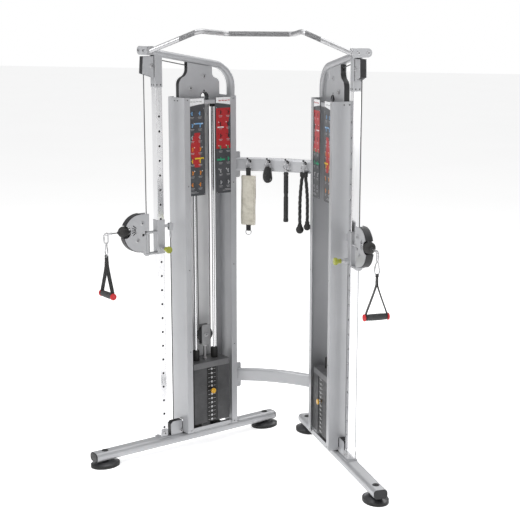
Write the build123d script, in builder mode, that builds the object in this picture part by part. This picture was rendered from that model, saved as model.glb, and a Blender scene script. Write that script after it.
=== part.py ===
from build123d import *
import os
from math import atan2, cos, degrees, radians, sin, sqrt

# Cable crossover machine: two weight-stack towers turned towards each other and
# joined at the back by two bowed beams and at the top by a pull-up bar.
# Millimetres, +Z up, mirror plane at X = 0, front at -Y, floor at Z = 0.
#
# One tower is drawn in its own directions and mirrored for the other:
#   s runs along the base rail, towards its front end
#   t runs across the tower, towards the user side
#   z is the height above the floor

# ---- Towers ----------------------------------------------------------------
TOWER_X = 524.2              # centre of the upright, from the mirror plane
TOWER_Y = -135.2
TOWER_ANGLE = 55.0           # the rail's angle from the X axis
COS = cos(radians(TOWER_ANGLE))
SIN = sin(radians(TOWER_ANGLE))
ALONG = Vector(COS, -SIN, 0)
INWARD = Vector(-SIN, -COS, 0)

# ---- Base ------------------------------------------------------------------
RAIL_FRONT, RAIL_BACK = 420.0, -742.0
RAIL_WIDTH, RAIL_HEIGHT, RAIL_CORNER = 72.0, 48.0, 19.0
RAIL_TOP = 82.0
RAIL_MID = RAIL_TOP - RAIL_HEIGHT / 2
WALL = 3.0
PAD_SPOTS = (356.0, -688.0)
PAD_LENGTH, PAD_WIDTH = 160.0, 126.0
SADDLE = 4.0                 # plates welded on the rail
SADDLE_TOP = RAIL_TOP + SADDLE

# ---- Upright and its holes -------------------------------------------------
UPRIGHT = 40.0
UPRIGHT_TOP = 2020.0
HOLE_PITCH, HOLE_COUNT, HOLE_FIRST, HOLE_D = 76.2, 23, 140.0, 12.0

# ---- Arch tube -------------------------------------------------------------
TUBE_DEPTH, TUBE_WIDTH = 36.0, 50.0
ARCH_Z, ARCH_SLOPE = 2137.0, 0.178       # centre height at s = 0, rise per mm
ARCH_END = 28.0
POST_S = -462.0
ARCH_BEND = 125.0
SLEEVE, SLEEVE_BOTTOM = 45.0, 1965.0

# ---- Pulleys and cable -----------------------------------------------------
PULLEY_R, GROOVE_R, PULLEY_W = 44.5, 38.0, 22.0   # groove radius to the cable's centre
CABLE_D, CABLE_GAP = 5.4, 0.4        # a turning pulley stays clear of the cable it carries
GROOVE_FLOOR_HALF, RIM = 2.4, 2.0
AXLE_D, AXLE_GAP = 10.0, 0.05
BOLT_HEAD_R = 9.0
PIVOT_S = 76.0               # the swivel axis, which the front cable runs down
TOP_PULLEY = (PIVOT_S - GROOVE_R, 2074.0)
REAR_GUSSET_PULLEY = (-280.0, 2012.0)
FRONT_GUSSET_PULLEY = (-196.0, 1952.0)
BASE_PULLEY = (-108.0, 99.0)
FLOATING_PULLEY = (-280.0, 612.0)
ARM_UPPER_PULLEY = (PIVOT_S + GROOVE_R, 1272.0)
ARM_LOWER_PULLEY = (144.0, 1184.0)
PLATE = 3.0

# ---- Weight stack ----------------------------------------------------------
STACK_S = -282.0
ROD_OFFSET, ROD_D = 60.0, 16.0
STACK_LENGTH, STACK_WIDTH = 234.0, 132.0
PLATE_PITCH, PLATE_THICK, PLATE_COUNT, PINNED = 24.0, 23.8, 13, 7
STACK_BOTTOM = 128.0
HEAD_BOTTOM = STACK_BOTTOM + PLATE_COUNT * PLATE_PITCH
HEAD_THICK = 32.0
COLLAR_R, COLLAR_HEIGHT = 18.0, 55.0
YOKE_WIDTH, YOKE_BOTTOM, YOKE_TOP = 56.0, 552.0, 668.0
YOKE_MID = (YOKE_BOTTOM + YOKE_TOP) / 2
STEM_D, STEM_HOLE_D, PIN_D = 26.0, 10.5, 9.5
ROD_TOP = 1879.0

# ---- Stack covers ----------------------------------------------------------
COVER_FRONT, COVER_BACK = -117.0, -443.0
COVER_HALF, COVER_LIP, SHEET = 77.0, 35.0, 2.0
COVER_BOTTOM, COVER_TOP = 92.0, 1908.0
SHIELD_MID, SHIELD_WIDTH = -251.0, 238.0     # outer sheet, short of the rear cover
PLACARD_BOTTOM, PLACARD_TOP, PLACARD_SPAN = 1395.0, 1905.0, 108.0

# ---- Carriage and swivel arm ----------------------------------------------
CARRIAGE, CARRIAGE_BOTTOM, CARRIAGE_TOP = 46.0, 1100.0, 1279.0
LUG_THICK, LUG_HALF = 8.0, 18.0
PIVOT_D, PIVOT_GAP = 14.0, 0.05
ARM_Z = 1221.0
ARM_R, ARM_CENTRE = 98.0, 121.0
ARM_BACK, ARM_NOTCH = 72.0, 98.0
ARM_INNER, ARM_PLATE = 18.0, 4.0
BALL_S, BALL_R = 213.0, 30.0
CABLE_OUT_Z = ARM_UPPER_PULLEY[1] - GROOVE_R
LINK_S = 316.0
KNOB_Z = HOLE_FIRST + 13 * HOLE_PITCH

# ---- Hand grip -------------------------------------------------------------
GRIP_Z, GRIP_HALF, GRIP_R = 918.0, 52.0, 14.0
SWING_Z = 1120.5

# ---- Beams between the towers ----------------------------------------------
BEAM_R, BEAM_BOW_Y = 747.0, 282.8
BEAM_HEIGHT, BEAM_DEPTH = 75.0, 30.0
BEAM_HEIGHTS = (1535.0, 351.0)
FLANGE_HALF, FLANGE = 70.0, 6.0
HOOK_Z, HOOK_OUT = 1553.0, 36.0
HOOK_XS = (-156.0, -52.0, 52.0, 156.0)

# ---- Pull-up bar -----------------------------------------------------------
BAR_D = 25.4
BAR_BENDS = ((178.0, -39.2, 2233.0), (267.0, -190.7, 2249.0))
BAR_END = (65.0, 44.0, 2147.0)       # s, t, z
BAR_BEND_R = 55.0


def spot(s, t, z):
    """A place on the right-hand tower, as a point of the whole machine."""
    return Vector(TOWER_X, TOWER_Y, 0) + ALONG * s + INWARD * t + Vector(0, 0, z)


def level(z, s=0.0, t=0.0):
    """Horizontal plane: x along the rail, y away from the user side."""
    return Plane(origin=spot(s, t, z), x_dir=ALONG, z_dir=(0, 0, 1))


def side(t, s=0.0, z=0.0):
    """Upright plane along the rail, drawn in s and z, extruded to the user side."""
    return Plane(origin=spot(s, t, z), x_dir=ALONG, z_dir=INWARD)


def facing(s, t=0.0, z=0.0):
    """Upright plane across the rail: x is -t, y is z, extruded towards the front."""
    return Plane(origin=spot(s, t, z), x_dir=-INWARD, z_dir=ALONG)


def save(part, label):
    part.label = label
    export_step(part, f"parts/{label}.step")


def save_pair(part, label):
    """Write the right-hand piece and its mirror image as two sub-parts."""
    save(part, f"right_{label}")
    save(mirror(part, about=Plane.YZ), f"left_{label}")


def beam_y(x):
    """Centre line of the bowed beams, seen from above."""
    return BEAM_BOW_Y - BEAM_R + sqrt(BEAM_R ** 2 - x ** 2)


def sheave(centre):
    """A grooved pulley with a through bore, its axis across the tower."""
    s, z = centre
    half = PULLEY_W / 2
    floor = GROOVE_R - CABLE_D / 2 - CABLE_GAP
    with BuildPart() as wheel:
        with BuildSketch(Plane(origin=spot(s, 0, z), x_dir=ALONG, z_dir=Vector(0, 0, 1))):
            with BuildLine():
                Polyline((AXLE_D / 2 + AXLE_GAP, -half), (PULLEY_R, -half),
                         (PULLEY_R, RIM - half), (floor, -GROOVE_FLOOR_HALF), (floor, GROOVE_FLOOR_HALF),
                         (PULLEY_R, half - RIM), (PULLEY_R, half),
                         (AXLE_D / 2 + AXLE_GAP, half), close=True)
            make_face()
        revolve(axis=Axis(spot(s, 0, z), INWARD))
    return wheel.part


def bolt(centre, half_length, head_height=5.0):
    """A bolt with its head and nut, across the tower and centred on it."""
    s, z = centre
    with BuildPart() as shank:
        for t, depth, r in ((-half_length, 2 * half_length, AXLE_D / 2),
                            (half_length, head_height, BOLT_HEAD_R),
                            (-half_length - head_height, head_height, BOLT_HEAD_R)):
            with BuildSketch(side(t, s, z)):
                Circle(r)
            extrude(amount=depth)
    return shank.part


def straight_cable(start, end):
    """A straight run of cable between two places given as (s, z)."""
    first, last = spot(start[0], 0, start[1]), spot(end[0], 0, end[1])
    with BuildPart() as run:
        with BuildSketch(Plane(origin=first, z_dir=(last - first).normalized())):
            Circle(CABLE_D / 2)
        extrude(amount=(last - first).length)
    return run.part


def both_towers(part):
    return Part() + [part, mirror(part, about=Plane.YZ)]


os.makedirs("parts", exist_ok=True)

# ============================ Base ==========================================
with BuildPart() as base_rails:
    with BuildSketch(facing(RAIL_BACK, z=RAIL_MID)):
        RectangleRounded(RAIL_WIDTH, RAIL_HEIGHT, RAIL_CORNER)
        RectangleRounded(RAIL_WIDTH - 2 * WALL, RAIL_HEIGHT - 2 * WALL, RAIL_CORNER - WALL,
                         mode=Mode.SUBTRACT)
    extrude(amount=RAIL_FRONT - RAIL_BACK)
    with BuildSketch(level(RAIL_TOP + 1, BASE_PULLEY[0])):
        Rectangle(92, 28)
    extrude(amount=-WALL - 4, mode=Mode.SUBTRACT)
    for s_mid, length, width in ((0, 64, 60), (POST_S, 60, 64), (STACK_S, 224, 116)):
        with BuildSketch(level(RAIL_TOP, s_mid)):
            RectangleRounded(length, width, 5)
        extrude(amount=SADDLE)
    for t in (UPRIGHT / 2 + 0.3, -UPRIGHT / 2 - 0.3 - SADDLE):
        with BuildSketch(side(t, 0, SADDLE_TOP + 20)):
            RectangleRounded(38, 44, 6)
        extrude(amount=SADDLE)
    for t in (UPRIGHT / 2, -UPRIGHT / 2 - SADDLE - 1):
        with BuildSketch(side(t, 0, SADDLE_TOP + 22)):
            Circle(AXLE_D / 2 + 0.1)
        extrude(amount=SADDLE + 1, mode=Mode.SUBTRACT)
    mirror(about=Plane.YZ)
save(base_rails.part, "base_rails")

with BuildPart() as foot_pads:
    for s_mid in PAD_SPOTS:
        with BuildSketch(level(0, s_mid)):
            Ellipse(PAD_LENGTH / 2, PAD_WIDTH / 2)
        extrude(amount=15)
        with BuildSketch(level(15, s_mid)):
            Ellipse(PAD_LENGTH / 2 - 5, PAD_WIDTH / 2 - 5)
        with BuildSketch(level(26, s_mid)):
            Ellipse(PAD_LENGTH / 2 - 30, PAD_WIDTH / 2 - 28)
        loft()
        with BuildSketch(level(26, s_mid)):
            Circle(17)
        extrude(amount=RAIL_TOP - RAIL_HEIGHT - 26)
    mirror(about=Plane.YZ)
save(foot_pads.part, "foot_pads")

with BuildPart() as uprights:
    with BuildSketch(level(SADDLE_TOP)):
        RectangleRounded(UPRIGHT, UPRIGHT, 3)
        RectangleRounded(UPRIGHT - 2 * WALL, UPRIGHT - 2 * WALL, 1, mode=Mode.SUBTRACT)
    extrude(amount=UPRIGHT_TOP - SADDLE_TOP)
    with BuildSketch(side(UPRIGHT / 2 + 1, 0, HOLE_FIRST + (HOLE_COUNT - 1) * HOLE_PITCH / 2)):
        with GridLocations(1, HOLE_PITCH, 1, HOLE_COUNT):
            Circle(HOLE_D / 2)
    extrude(amount=-WALL - 3, mode=Mode.SUBTRACT)
    with BuildSketch(side(-UPRIGHT / 2 - 1, 0, SADDLE_TOP + 22)):
        Circle(AXLE_D / 2 + 0.1)
    extrude(amount=UPRIGHT + 2, mode=Mode.SUBTRACT)
    mirror(about=Plane.YZ)
save(uprights.part, "uprights")

# ============================ Arch and plates ===============================
arch_front = (ARCH_END + 12, ARCH_Z + ARCH_SLOPE * (ARCH_END + 12))
arch_corner = (POST_S, ARCH_Z + ARCH_SLOPE * POST_S)

with BuildPart() as arch_frames:
    with BuildLine(side(0)) as arch_line:
        FilletPolyline(arch_front, arch_corner, (POST_S, SADDLE_TOP), radius=ARCH_BEND)
    with BuildSketch(Plane(origin=arch_line.line @ 0, x_dir=INWARD, z_dir=arch_line.line % 0)):
        SlotOverall(TUBE_WIDTH, TUBE_DEPTH)
        SlotOverall(TUBE_WIDTH - 2 * WALL, TUBE_DEPTH - 2 * WALL, mode=Mode.SUBTRACT)
    sweep()
    with BuildSketch(facing(ARCH_END, z=ARCH_Z)):
        Rectangle(100, 100)
    extrude(amount=60, mode=Mode.SUBTRACT)
    with BuildSketch(level(SLEEVE_BOTTOM)):
        RectangleRounded(SLEEVE, SLEEVE, 3)
        RectangleRounded(UPRIGHT + 0.4, UPRIGHT + 0.4, 3, mode=Mode.SUBTRACT)
    extrude(amount=ARCH_Z - 9 - SLEEVE_BOTTOM)
    with BuildSketch(facing(SLEEVE / 2 + 2, z=TOP_PULLEY[1])):
        Rectangle(PULLEY_W + 5, 2 * PULLEY_R + 8)
    extrude(amount=-SLEEVE / 2, mode=Mode.SUBTRACT)
    with BuildSketch(facing(-SLEEVE / 2 - 2, z=ARCH_Z - 36)):
        Rectangle(16, 24)
    extrude(amount=SLEEVE / 2, mode=Mode.SUBTRACT)
    mirror(about=Plane.YZ)
save(arch_frames.part, "arch_frames")

GUSSET_T = 13.5
GUSSET_BOTTOM, GUSSET_SHOULDER, GUSSET_NECK = 1885.0, 1972.0, 2050.0
GUSSET_S = (-127.0, -180.0, -332.0, -378.0)     # front, front neck, back neck, back
HOUSING_T = 15.0
HOUSING = ((SLEEVE / 2, 2014), (SLEEVE / 2, 2116), (SLEEVE / 2 + 3, 2122), (86, 2122), (92, 2036))
BRACKET_FRONT, BRACKET_TOP = -44.0, 158.0


def under_arch(s):
    return ARCH_Z + ARCH_SLOPE * s - TUBE_DEPTH / 2 * sqrt(1 + ARCH_SLOPE ** 2)


def gusset_edge(edge_s, neck_s, neck_z, inset=0.0):
    """The swept edge of a gusset, from the tube down to the cover, inset along s."""
    middle = ((edge_s + neck_s) / 2 + inset, (neck_z + GUSSET_SHOULDER) / 2)
    Line((neck_s + inset, under_arch(neck_s + inset)), (neck_s + inset, neck_z))
    TangentArc((neck_s + inset, neck_z), middle, tangent=(0, -1))
    TangentArc((edge_s + inset, GUSSET_SHOULDER), middle, tangent=(0, 1))
    Line((edge_s + inset, GUSSET_SHOULDER), (edge_s + inset, GUSSET_BOTTOM))


with BuildPart() as pulley_plates:
    front_s, front_neck, back_neck, back_s = GUSSET_S
    for t in (GUSSET_T, -GUSSET_T - PLATE):
        with BuildSketch(side(t)):
            with BuildLine():
                gusset_edge(front_s, front_neck, GUSSET_NECK)
                gusset_edge(back_s, back_neck, GUSSET_NECK - 20)
                Line((front_neck, under_arch(front_neck)), (back_neck, under_arch(back_neck)))
                Line((front_s, GUSSET_BOTTOM), (back_s, GUSSET_BOTTOM))
            make_face()
            with Locations(REAR_GUSSET_PULLEY, FRONT_GUSSET_PULLEY):
                Circle(AXLE_D / 2 + 0.1, mode=Mode.SUBTRACT)
            with Locations((STACK_S, 1905)):
                Circle(26, mode=Mode.SUBTRACT)
            with Locations((STACK_S, 1892)):
                Rectangle(52, 26, mode=Mode.SUBTRACT)
        extrude(amount=PLATE)
    with BuildSketch(level(ROD_TOP, (front_s + back_s) / 2)):
        Rectangle(front_s - back_s, 2 * (GUSSET_T + PLATE))
    extrude(amount=GUSSET_BOTTOM - ROD_TOP)
    with BuildSketch(level(ROD_TOP - 1)):
        for cable_s in (FRONT_GUSSET_PULLEY[0] + GROOVE_R, -236, REAR_GUSSET_PULLEY[0] - GROOVE_R):
            with Locations((cable_s, 0)):
                SlotOverall(22, 14)
    extrude(amount=GUSSET_BOTTOM - ROD_TOP + 2, mode=Mode.SUBTRACT)
    for t in (HOUSING_T, -HOUSING_T - PLATE):
        with BuildSketch(side(t)):
            with BuildLine():
                Polyline(*HOUSING, close=True)
            make_face()
            with Locations(TOP_PULLEY):
                Circle(AXLE_D / 2 + 0.1, mode=Mode.SUBTRACT)
        extrude(amount=PLATE)
        with BuildSketch(side(t)):
            with BuildLine():
                Polyline((COVER_FRONT + 1, RAIL_TOP), (BRACKET_FRONT, RAIL_TOP),
                         (BRACKET_FRONT, BRACKET_TOP - 12), (BRACKET_FRONT - 12, BRACKET_TOP),
                         (COVER_FRONT + 1, BRACKET_TOP), close=True)
            make_face()
            with Locations(BASE_PULLEY):
                Circle(AXLE_D / 2 + 0.1, mode=Mode.SUBTRACT)
        extrude(amount=PLATE)
    mirror(about=Plane.YZ)
save(pulley_plates.part, "pulley_plates")

with BuildPart() as plastic_trim:
    with BuildSketch(side(-GUSSET_T)):
        with BuildLine():
            gusset_edge(front_s, front_neck, GUSSET_NECK)
            gusset_edge(front_s, front_neck, GUSSET_NECK, inset=-5)
            Line((front_neck, under_arch(front_neck)), (front_neck - 5, under_arch(front_neck - 5)))
            Line((front_s, GUSSET_BOTTOM), (front_s - 5, GUSSET_BOTTOM))
        make_face()
    extrude(amount=2 * GUSSET_T)
    with BuildSketch(facing(front_neck + 1, z=2069)):
        SlotOverall(26, 11, rotation=90)
    extrude(amount=-8, mode=Mode.SUBTRACT)
    with BuildSketch(side(-HOUSING_T)):
        with BuildLine():
            Polyline((ARCH_END + 1, 2122), (86, 2122), (92, 2036), (88.5, 2036), (83, 2118.7),
                     (ARCH_END + 1, 2118.7), close=True)
        make_face()
    extrude(amount=2 * HOUSING_T)
    with BuildSketch(side(-HOUSING_T)):
        with BuildLine():
            Polyline((BRACKET_FRONT, RAIL_TOP), (BRACKET_FRONT, BRACKET_TOP - 12),
                     (BRACKET_FRONT - 12, BRACKET_TOP), (COVER_FRONT + 1, BRACKET_TOP),
                     (COVER_FRONT + 1, BRACKET_TOP - 4), (BRACKET_FRONT - 14, BRACKET_TOP - 4),
                     (BRACKET_FRONT - 4, BRACKET_TOP - 14), (BRACKET_FRONT - 4, RAIL_TOP), close=True)
        make_face()
    extrude(amount=2 * HOUSING_T)
    with BuildSketch(level(BRACKET_TOP + 1, BASE_PULLEY[0] + GROOVE_R)):
        SlotOverall(30, 13)
    extrude(amount=-14, mode=Mode.SUBTRACT)
    for s_end, direction in ((RAIL_FRONT, 1), (RAIL_BACK, -1)):
        with BuildSketch(facing(s_end, z=RAIL_MID)):
            RectangleRounded(RAIL_WIDTH, RAIL_HEIGHT, RAIL_CORNER)
        extrude(amount=6 * direction, taper=24)
    for s_mid in PAD_SPOTS:
        with BuildSketch(level(RAIL_TOP, s_mid)):
            Circle(18)
        extrude(amount=3, taper=40)
    mirror(about=Plane.YZ)
save(plastic_trim.part, "plastic_trim")

# ============================ Stack covers and rods =========================
with BuildPart() as stack_covers:
    for s_panel, direction in ((COVER_FRONT, -1), (COVER_BACK, 1)):
        with BuildSketch(level(COVER_BOTTOM)):
            with Locations((s_panel + direction * COVER_LIP / 2, 0)):
                Rectangle(COVER_LIP, 2 * COVER_HALF)
            with Locations((s_panel + direction * (COVER_LIP / 2 + SHEET), 0)):
                Rectangle(COVER_LIP, 2 * (COVER_HALF - SHEET), mode=Mode.SUBTRACT)
        extrude(amount=COVER_TOP - COVER_BOTTOM)
    with BuildSketch(facing(COVER_FRONT + 1, z=COVER_BOTTOM + 33)):
        Rectangle(44, 68)
    extrude(amount=-SHEET - 2, mode=Mode.SUBTRACT)
    for z_tie in (COVER_BOTTOM, COVER_TOP - 36):
        for t in (COVER_HALF - SHEET - 8, -COVER_HALF + SHEET + 5):
            with BuildSketch(side(t, (COVER_FRONT + COVER_BACK) / 2, z_tie + 10)):
                Rectangle(COVER_FRONT - COVER_BACK - 12, 20)
            extrude(amount=PLATE)
    mirror(about=Plane.YZ)
save(stack_covers.part, "stack_covers")

with BuildPart() as outer_shields:
    with BuildSketch(side(-COVER_HALF + SHEET, SHIELD_MID, (COVER_TOP + 150) / 2)):
        RectangleRounded(SHIELD_WIDTH, COVER_TOP - 150 - 16, 6)
    extrude(amount=3)
    mirror(about=Plane.YZ)
save(outer_shields.part, "outer_shields")

with BuildPart() as placards:
    for s_edge, direction in ((COVER_FRONT - COVER_LIP + 15, -1), (COVER_BACK + COVER_LIP - 15, 1)):
        with BuildSketch(side(COVER_HALF - SHEET - 4, s_edge + direction * PLACARD_SPAN / 2,
                              (PLACARD_BOTTOM + PLACARD_TOP) / 2)):
            RectangleRounded(PLACARD_SPAN, PLACARD_TOP - PLACARD_BOTTOM, 4)
        extrude(amount=2.5)
    mirror(about=Plane.YZ)
save(placards.part, "placards")

ROD_SPOTS = [(STACK_S - ROD_OFFSET, 0), (STACK_S + ROD_OFFSET, 0)]

with BuildPart() as guide_rods:
    with BuildSketch(level(SADDLE_TOP)):
        with Locations(*ROD_SPOTS):
            Circle(ROD_D / 2)
    extrude(amount=ROD_TOP - SADDLE_TOP)
    mirror(about=Plane.YZ)
save(guide_rods.part, "guide_rods")

with BuildPart() as stack_bumpers:
    with BuildSketch(level(SADDLE_TOP)):
        with Locations(*ROD_SPOTS):
            Circle(27)
            Circle(ROD_D / 2 + 0.2, mode=Mode.SUBTRACT)
    extrude(amount=STACK_BOTTOM - SADDLE_TOP)
    mirror(about=Plane.YZ)
save(stack_bumpers.part, "stack_bumpers")


with BuildPart() as weight_plate:
    with BuildSketch(level(STACK_BOTTOM, STACK_S)):
        RectangleRounded(STACK_LENGTH, STACK_WIDTH, 5)
        with Locations((0, -STACK_WIDTH / 2)):
            Rectangle(72, 8, mode=Mode.SUBTRACT)
        with Locations((-ROD_OFFSET, 0), (ROD_OFFSET, 0)):
            Circle(ROD_D / 2 + 1, mode=Mode.SUBTRACT)
        Circle(STEM_D / 2 + 1.5, mode=Mode.SUBTRACT)
    extrude(amount=PLATE_THICK)
    with BuildSketch(side(0, STACK_S, STACK_BOTTOM + PLATE_THICK / 2)):
        Circle(PIN_D / 2 + 0.6)
    extrude(amount=STACK_WIDTH, mode=Mode.SUBTRACT)

plates = [Pos(0, 0, index * PLATE_PITCH) * weight_plate.part for index in range(PLATE_COUNT)]
save(both_towers(Part() + plates[:PINNED]), "resting_plates")
save_pair(Part() + plates[PINNED:], "lifted_plates")

yoke_bolt = bolt(FLOATING_PULLEY, GUSSET_T + PLATE)
with BuildPart() as stack_head:
    with BuildSketch(level(HEAD_BOTTOM, STACK_S)):
        RectangleRounded(STACK_LENGTH, STACK_WIDTH, 5)
        with Locations((-ROD_OFFSET, 0), (ROD_OFFSET, 0)):
            Circle(ROD_D / 2 + 0.5, mode=Mode.SUBTRACT)
    extrude(amount=HEAD_THICK)
    with BuildSketch(level(HEAD_BOTTOM + HEAD_THICK, STACK_S)):
        with Locations((-ROD_OFFSET, 0), (ROD_OFFSET, 0)):
            Circle(COLLAR_R)
            Circle(ROD_D / 2 + 0.5, mode=Mode.SUBTRACT)
    extrude(amount=COLLAR_HEIGHT)
    with BuildSketch(level(STACK_BOTTOM + 4, STACK_S)):
        Circle(STEM_D / 2)
    extrude(amount=HEAD_BOTTOM - STACK_BOTTOM - 4)
    with BuildSketch(side(-STEM_D, STACK_S, STACK_BOTTOM + PLATE_THICK / 2
                          + (PLATE_COUNT - 1) * PLATE_PITCH / 2)):
        with GridLocations(1, PLATE_PITCH, 1, PLATE_COUNT):
            Circle(STEM_HOLE_D / 2)
    extrude(amount=2 * STEM_D, mode=Mode.SUBTRACT)
    with BuildSketch(level(HEAD_BOTTOM + HEAD_THICK, FLOATING_PULLEY[0])):
        Circle(9)
    extrude(amount=FLOATING_PULLEY[1] - PULLEY_R - 6 - HEAD_BOTTOM - HEAD_THICK)
    with BuildSketch(level(FLOATING_PULLEY[1] - PULLEY_R - 8, FLOATING_PULLEY[0])):
        Rectangle(YOKE_WIDTH, 2 * (GUSSET_T + PLATE))
    extrude(amount=5)
    for t in (GUSSET_T, -GUSSET_T - PLATE):
        with BuildSketch(side(t, FLOATING_PULLEY[0], YOKE_MID)):
            RectangleRounded(YOKE_WIDTH, YOKE_TOP - YOKE_BOTTOM, 8)
            with Locations((0, FLOATING_PULLEY[1] - YOKE_MID)):
                Circle(AXLE_D / 2 + 0.1, mode=Mode.SUBTRACT)
        extrude(amount=PLATE)
    add(yoke_bolt)
save_pair(stack_head.part, "stack_head")

PIN_Z = STACK_BOTTOM + PINNED * PLATE_PITCH + PLATE_THICK / 2
with BuildPart() as selector_pin:
    with BuildSketch(side(-STEM_D / 2 + 2, STACK_S, PIN_Z)):
        Circle(PIN_D / 2)
    extrude(amount=STACK_WIDTH / 2 + STEM_D / 2)
    with BuildSketch(side(STACK_WIDTH / 2 - 2, STACK_S, PIN_Z)):
        Circle(9)
    extrude(amount=12)
    with BuildSketch(side(STACK_WIDTH / 2 + 10, STACK_S, PIN_Z)):
        Circle(15)
    extrude(amount=9)
    fillet(selector_pin.edges().filter_by(GeomType.CIRCLE).group_by(SortBy.RADIUS)[-1], 3)
save_pair(selector_pin.part, "selector_pin")

# ============================ Pulleys =======================================
save_pair(sheave(TOP_PULLEY), "top_pulley")
save_pair(sheave(REAR_GUSSET_PULLEY), "rear_gusset_pulley")
save_pair(sheave(FRONT_GUSSET_PULLEY), "front_gusset_pulley")
save_pair(sheave(BASE_PULLEY), "base_pulley")
save_pair(sheave(FLOATING_PULLEY), "floating_pulley")
save_pair(sheave(ARM_UPPER_PULLEY), "arm_upper_pulley")
save_pair(sheave(ARM_LOWER_PULLEY), "arm_lower_pulley")

# ============================ Beams =========================================
with BuildPart() as crossbeams:
    for beam_z in BEAM_HEIGHTS:
        with BuildLine(Plane.XY.offset(beam_z)):
            ThreePointArc((0, beam_y(0)), (130, beam_y(130)), (260, beam_y(260)))
        with BuildSketch(Plane(origin=(0, beam_y(0), beam_z), x_dir=(0, 0, 1), z_dir=(1, 0, 0))):
            SlotOverall(BEAM_HEIGHT, BEAM_DEPTH)
        sweep()
    with BuildSketch(side(TUBE_WIDTH / 2 + FLANGE, POST_S, 1000)):
        Rectangle(400, 2400)
    extrude(amount=-200, mode=Mode.SUBTRACT)
    for beam_z in BEAM_HEIGHTS:
        with BuildSketch(side(TUBE_WIDTH / 2, POST_S - 12, beam_z)):
            RectangleRounded(54, 2 * FLANGE_HALF, 8)
        extrude(amount=FLANGE)
    mirror(about=Plane.YZ)
    for x in HOOK_XS:
        face_y = beam_y(x) - BEAM_DEPTH / 2
        with BuildSketch(Plane(origin=(x, face_y + 3, HOOK_Z), x_dir=(1, 0, 0), z_dir=(0, -1, 0))):
            Circle(4)
        extrude(amount=HOOK_OUT + 3)
        with BuildSketch(Plane(origin=(x, face_y - HOOK_OUT + 4, HOOK_Z))):
            Circle(4)
        extrude(amount=16)
save(crossbeams.part, "crossbeams")

# ============================ Pull-up bar ===================================
bar_end = spot(*BAR_END)
with BuildPart() as pull_up_bar:
    with BuildLine() as bar_line:
        FilletPolyline((0, BAR_BENDS[0][1], BAR_BENDS[0][2]), *BAR_BENDS,
                       (bar_end.X, bar_end.Y, bar_end.Z), radius=BAR_BEND_R)
    with BuildSketch(Plane(origin=bar_line.line @ 0, z_dir=bar_line.line % 0)):
        Circle(BAR_D / 2)
    sweep()
    with BuildSketch(side(BAR_END[1] + 11, BAR_END[0], BAR_END[2])):
        Rectangle(100, 100)
    extrude(amount=-60, mode=Mode.SUBTRACT)
    with BuildSketch(side(50, BAR_END[0], 2151)):
        Circle(21)
    extrude(amount=5)
    mirror(about=Plane.YZ)
save(pull_up_bar.part, "pull_up_bar")

with BuildPart() as bar_brackets:
    with BuildSketch(facing(80, z=2151)):
        with BuildLine():
            Polyline((24, 22), (-50, 22), (-50, -22), (24, -22))
            ThreePointArc((24, 22), (46, 0), (24, -22))
        make_face()
        with Locations((-22, 0), (28, 0)):
            Circle(5.1, mode=Mode.SUBTRACT)
    extrude(amount=5)
    with BuildSketch(side(44, 64.5, 2151)):
        Rectangle(41, 44)
    extrude(amount=6)
    with BuildSketch(facing(ARCH_END, z=2143)):
        RectangleRounded(50, 37, 17)
    extrude(amount=4)
    with BuildSketch(facing(ARCH_END + 4, z=2146)):
        RectangleRounded(26, 26, 5)
    extrude(amount=80 - ARCH_END - 4)
    mirror(about=Plane.YZ)
save(bar_brackets.part, "bar_brackets")

# ============================ Fasteners =====================================
axle_bolts = [bolt(REAR_GUSSET_PULLEY, GUSSET_T + PLATE), bolt(FRONT_GUSSET_PULLEY, GUSSET_T + PLATE),
              bolt(TOP_PULLEY, HOUSING_T + PLATE), bolt(BASE_PULLEY, HOUSING_T + PLATE),
              bolt((0, SADDLE_TOP + 22), UPRIGHT / 2 + SADDLE + 0.3)]
with BuildPart() as frame_bolts:
    add(axle_bolts)
    for t in (22, -28):
        for s_from, depth, r in ((79, 6, 5), (85, 4, 8), (75.5, 3.5, 8)):
            if t == 22 or s_from != 75.5:
                with BuildSketch(facing(s_from, t, 2151)):
                    Circle(r)
                extrude(amount=depth)
    for t in (-12, 17):
        with BuildSketch(facing(COVER_FRONT, t, 1891)):
            Circle(5)
        extrude(amount=2, taper=20)
    for s_edge in (COVER_FRONT - 20, COVER_BACK + 20):
        with BuildSketch(side(COVER_HALF, s_edge)):
            with Locations((0, 1895), (0, 1448), (0, 1000), (0, 552), (0, 105)):
                Circle(4)
        extrude(amount=2, taper=20)
    mirror(about=Plane.YZ)
save(frame_bolts.part, "frame_bolts")

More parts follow.
